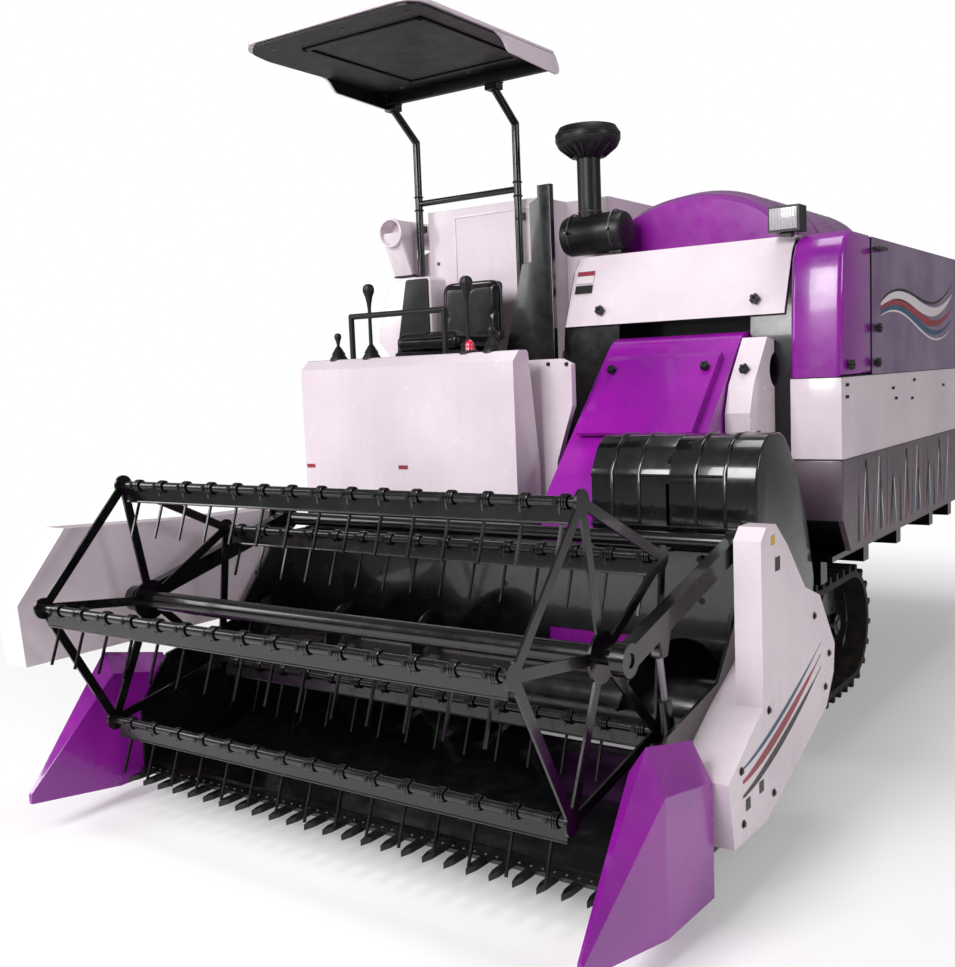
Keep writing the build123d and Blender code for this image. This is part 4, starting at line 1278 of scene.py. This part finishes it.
@dataclass
class TankTrim:
    """Fittings of the grain tank, the roof and the engine cover, from the tank's right face."""

    right: float = -1.040
    front: float = NOSE + 2.200
    mesh_foot: float = 0.91
    mesh_pitch: float = 0.0205
    louvre_z: float = 1.18
    posts: tuple[float, float] = (-0.970, -0.420)

    def build(self) -> None:
        """Make the pieces."""
        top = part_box("grain_tank")[1][2]
        front = self.front
        bolts = Shape("tank_bolts")
        for z in (1.70, 1.85, 2.00):
            for x in (-0.99, -0.90, -0.36):
                bolts.hex_head((x, front, z), (0, -1, 0), 0.0065)
        for index in range(8):
            for z in (1.60, 2.00):
                bolts.hex_head((self.right, front + 0.10 + 0.16 * index, z), (-1, 0, 0), 0.0065)
        bolts.done("chassis", "bolt")
        fold = Shape("tank_folds")
        fold.block((-0.80, front - 0.004, 2.196), (-0.34, front + 0.002, 2.206), 0.0015)
        fold.block((-0.80, front - 0.004, 1.76), (-0.792, front + 0.002, 2.20), 0.0015)
        fold.block((-0.348, front - 0.004, 1.76), (-0.34, front + 0.002, 2.20), 0.0015)
        for z in (1.64, 1.96):
            fold.block((self.right - 0.004, front + 0.25, z), (self.right + 0.002, front + 1.10, z + 0.012),
                       0.0015)
        fold.done("chassis", "white_paint")
        lid = Shape("tank_lid")
        lid.block((-0.88, front + 0.28, top - 0.004), (-0.38, front + 1.18, top + 0.012), 0.005)
        lid.bar((-0.70, front + 0.262, top + 0.006), (-0.54, front + 0.262, top + 0.006), 0.006)
        lid.done("chassis", "white_paint")
        clips = Shape("rail_clips")
        for x in self.posts:
            clips.bar((x, tip(2.160) - 0.022, 2.15), (x, tip(2.160) + 0.03, 2.15), 0.006)
            clips.ring((x, tip(2.160), 2.250), (0, 0, 1), 0.0185, 0.004)
            clips.ring((x, tip(2.160), 2.310), (0, 0, 1), 0.0185, 0.004)
        clips.done("chassis", "knob")
        self.louvre_mesh()
        self.roof_trim()

    def louvre_mesh(self) -> None:
        """Hang a dark mesh behind the louvres and frame them."""
        mesh = Shape("louvre_mesh")
        middle = (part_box("engine_cover")[0][1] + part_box("engine_cover")[1][1]) / 2
        for index in range(40):
            y = middle - 0.40 + index * self.mesh_pitch
            mesh.bar((self.right + 0.016, y, self.mesh_foot), (self.right + 0.016, y, 1.45), 0.0012, sides=6)
        for index in range(27):
            z = self.mesh_foot + index * self.mesh_pitch
            mesh.bar((self.right + 0.018, middle - 0.41, z), (self.right + 0.018, middle + 0.41, z), 0.0012,
                     sides=6)
        mesh.done("chassis", "mesh")
        rim = Shape("louvre_lips")
        for index in range(9):
            z = self.louvre_z - 0.24 + 0.06 * index + 0.013
            rim.block((self.right - 0.006, middle - 0.37, z - 0.002),
                      (self.right + 0.001, middle + 0.37, z + 0.002))
        rim.done("chassis", "white_paint")

    def roof_trim(self) -> None:
        """Set screws round the roof's liner and lay pads on its posts."""
        screws = Shape("roof_screws")
        for x in (-0.86, -0.50, -0.20):
            for y in (1.14, 1.93):
                screws.hex_head((x, tip(y), ROOF_UNDER), (0, 0, -1), 0.006)
        screws.done("chassis", "bolt")
        pads = Shape("post_pads")
        for x in self.posts:
            pads.block((x - 0.034, tip(1.971), 2.7035), (x + 0.034, tip(2.029), 2.7075), 0.002)
        pads.done("chassis", "gasket")


@dataclass
class UnloaderTrim:
    """Tube, pleated sleeve, bands and flange bolts of the unloading auger.

    The barrel's profile is radius and distance from the elbow in mm, the outlines Y behind the tips and Z.
    """

    x: float = -1.065
    z: float = 2.150
    barrel: tuple[Place, ...] = ((0, 0), (70, 0), (70, 12), (62, 14), (62, 1560), (66, 1562), (66, 1578),
                                 (58, 1580), (56, 1500), (0, 1500))
    lug: tuple[Place, ...] = ((3573, 2200), (3623, 2228), (3647, 2228), (3647, 2256), (3619, 2256),
                              (3523, 2200))
    sleeve: tuple[Place, ...] = ((2064, 2150), (2064, 2110), (2140, 1955), (2188, 1955), (2188, 2150))

    def build(self) -> None:
        """Make the pieces."""
        tube = Shape("unload_barrel")
        tube.lathe((self.x, tip(3.630), self.z), (0, -1, 0), self.barrel)
        tube.prism(self.lug, self.x - 0.018, self.x + 0.018, bevel=0.003)
        tube.instead("unload_boom", "white_paint", "unload_tube")
        sleeve = Shape("spout_sleeve")
        sleeve.prism(self.sleeve, self.x - 0.055, self.x + 0.055, bevel=0.010)
        sleeve.done("unload_boom", "inner_white")
        pleats = Shape("sleeve_pleats")
        for index in range(7):
            x = self.x - 0.046 + index * 0.0153
            top = Vector((x, tip(2.080), self.z - 0.058))
            foot = Vector((x, tip(2.148), self.z - 0.190))
            pleats.bar(top, foot, 0.0052, 0.0040, 10)
        pleats.done("unload_boom", "inner_white")
        hem = Shape("sleeve_hem")
        for start, end in (((-0.054, 2.142), (0.054, 2.142)), ((-0.054, 2.186), (0.054, 2.186)),
                           ((-0.054, 2.142), (-0.054, 2.186)), ((0.054, 2.142), (0.054, 2.186))):
            hem.bar((self.x + start[0], tip(start[1]), self.z - 0.197),
                    (self.x + end[0], tip(end[1]), self.z - 0.197), 0.0045, sides=8)
        hem.done("unload_boom", "gasket")
        bands = Shape("tube_bands")
        for y in (2.22, 2.75, 3.30):
            bands.ring((self.x, tip(y), self.z), (0, 1, 0), 0.0625, 0.0035, 40)
        bands.done("unload_boom", "white_paint")
        flange = Shape("flange_bolts")
        for lobe in range(8):
            angle = math.radians(45 * lobe + 20)
            spot = (self.x + 0.082 * math.cos(angle), 1.400 + 0.082 * math.sin(angle), 1.990)
            flange.hex_head(spot, (0, 0, -1), 0.006)
        flange.done("chassis", "bolt")


@dataclass
class CleanerTrim:
    """Air cleaner: cap, stem and drum turned from profiles of radius and height in mm, with its bands."""

    x: float = -0.100
    y: float = NOSE + 2.230
    cap: tuple[Place, ...] = ((0, 2060), (50, 2060), (50, 2376), (60, 2375), (128, 2425), (139, 2450),
                              (139, 2476), (122, 2502), (60, 2514), (0, 2516))
    drum: tuple[Place, ...] = ((0, -220), (62, -220), (78, -212), (86, -195), (86, 55), (78, 72), (62, 80),
                               (0, 80))

    def build(self) -> None:
        """Make the pieces."""
        cleaner = Shape("cleaner_body")
        cleaner.lathe((self.x, self.y, 0.0), (0, 0, 1), self.cap, 56)
        cleaner.lathe((0.0, self.y, 2.055), (1, 0, 0), self.drum, 48)
        cleaner.block((0.0, self.y - 0.030, 1.940), (0.060, self.y + 0.030, 2.000), 0.004)
        cleaner.instead("chassis", "black_matte", "air_cleaner")
        cap = Shape("cleaner_cap_rings")
        for radius, z in ((0.1385, 2.450), (0.1385, 2.476), (0.122, 2.502)):
            cap.ring((self.x, self.y, z), (0, 0, 1), radius - 0.002, 0.003, 56)
        for lobe in range(24):
            angle = 2 * math.pi * lobe / 24
            side = Vector((math.cos(angle), math.sin(angle), 0))
            foot, head = Vector((self.x, self.y, 2.380)), Vector((self.x, self.y, 2.422))
            cap.bar(foot + side * 0.071, head + side * 0.124, 0.003, sides=6)
        cap.done("chassis", "black_gloss")
        bands = Shape("cleaner_bands")
        for x in (-0.170, 0.030):
            bands.ring((x, self.y, 2.060), (1, 0, 0), 0.0865, 0.0035, 48)
            bands.block((x - 0.006, self.y - 0.104, 2.054), (x + 0.006, self.y - 0.086, 2.066), 0.002)
        bands.ring((self.x, self.y, 2.150), (0, 0, 1), 0.0505, 0.003, 36)
        bands.done("chassis", "bolt")


@dataclass
class Studio:
    """Camera at the photograph's angle, pale floor and soft light."""

    camera_place: tuple[float, float, float] = (2.265, -4.370, 1.472)
    camera_turn: tuple[float, float, float] = (84.43, 2.29, 34.92)
    lens_mm: float = 41.32
    sensor_mm: float = 36.0
    lamps: tuple[tuple, ...] = (  # Name, place, side in metres and watts
        ("key", (-0.6, -7.0, 4.6), 3.0, 400.0),
        ("fill", (-5.5, -4.5, 3.6), 2.5, 110.0),
        ("top", (0.5, 0.0, 7.5), 3.0, 150.0),
        ("side", (7.0, -1.0, 4.0), 2.0, 90.0))

    def build(self) -> None:
        """Make the camera, floor, world and lamps."""
        scene = bpy.context.scene
        data = bpy.data.cameras.new("camera")
        data.lens = self.lens_mm
        data.sensor_width = self.sensor_mm
        camera = bpy.data.objects.new("camera", data)
        camera.location = self.camera_place
        camera.rotation_euler = [math.radians(angle) for angle in self.camera_turn]
        scene.collection.objects.link(camera)
        scene.camera = camera
        scene.view_settings.view_transform = "Standard"
        self.floor()
        self.world()
        for name, place, size, watts in self.lamps:
            self.lamp(name, place, size, watts)

    def floor(self) -> None:
        """Lay a pale floor that keeps the near shadow and fades to plain white further out."""
        mesh = bpy.data.meshes.new("floor")
        shape = bmesh.new()
        bmesh.ops.create_grid(shape, x_segments=1, y_segments=1, size=60.0)
        shape.to_mesh(mesh)
        shape.free()
        floor = bpy.data.objects.new("floor", mesh)
        floor.location.z = -0.0005
        bpy.context.scene.collection.objects.link(floor)
        material = bpy.data.materials.new("pale_floor")
        material.use_nodes = True
        tree = material.node_tree
        shader = tree.nodes["Principled BSDF"]
        shader.inputs["Base Color"].default_value = linear("FBF9FA")
        shader.inputs["Roughness"].default_value = 0.9
        shader.inputs["Specular IOR Level"].default_value = 0.1
        plain = add_node(tree, "Emission", {"Color": linear("FFFFFF"), "Strength": 1.0})
        place = add_node(tree, "TexCoord").outputs["Object"]
        away = add_node(tree, "VectorMath", {"operation": "LENGTH"}, {0: place})
        fade = {"interpolation_type": "SMOOTHSTEP", "From Min": 2.2, "From Max": 5.0, "To Min": 0.25,
                "To Max": 1.0}
        share = add_node(tree, "MapRange", fade, {"Value": away.outputs["Value"]})
        path = add_node(tree, "LightPath")
        seen = add_node(tree, "Math", {"operation": "MULTIPLY"},
                        {0: share.outputs["Result"], 1: path.outputs["Is Camera Ray"]})
        mix = add_node(tree, "MixShader", {}, {0: seen.outputs[0], 1: shader.outputs[0], 2: plain.outputs[0]})
        tree.links.new(mix.outputs[0], tree.nodes["Material Output"].inputs["Surface"])
        mesh.materials.append(material)

    def world(self) -> None:
        """Light the scene softly from all round and show plain white behind it."""
        world = bpy.data.worlds.new("studio")
        bpy.context.scene.world = world
        world.use_nodes = True
        tree = world.node_tree
        back = tree.nodes["Background"]
        back.inputs["Color"].default_value = linear("FFFFFF")
        path = add_node(tree, "LightPath")
        power = add_node(tree, "MapRange", {"To Min": 0.24, "To Max": 1.0},
                         {"Value": path.outputs["Is Camera Ray"]})
        tree.links.new(power.outputs["Result"], back.inputs["Strength"])

    def lamp(self, name: str, place: tuple[float, float, float], size: float, watts: float) -> None:
        """Hang one soft square lamp that looks at the machine.

        Args:
            name: Its name.
            place: Where it hangs.
            size: Its side, metres.
            watts: Its power.
        """
        data = bpy.data.lights.new(name, "AREA")
        data.size = size
        data.energy = watts
        lamp = bpy.data.objects.new(name, data)
        lamp.location = place
        lamp.rotation_euler = (Vector((0, 0, 1)) - Vector(place)).to_track_quat("-Z", "Y").to_euler()
        bpy.context.scene.collection.objects.link(lamp)


def main() -> None:
    """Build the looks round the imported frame."""
    Paintshop.dress_nodes()
    Studio().build()
    for part in (Bodywork(), Canopy(), HoodTrim(), SideTrim(), HeaderTrim(), ReelTrim(), TrackTrim(),
                 OperatorTrim(), Seat(), TankTrim(), UnloaderTrim(), CleanerTrim()):
        part.build()


if __name__ == "__main__":
    main()
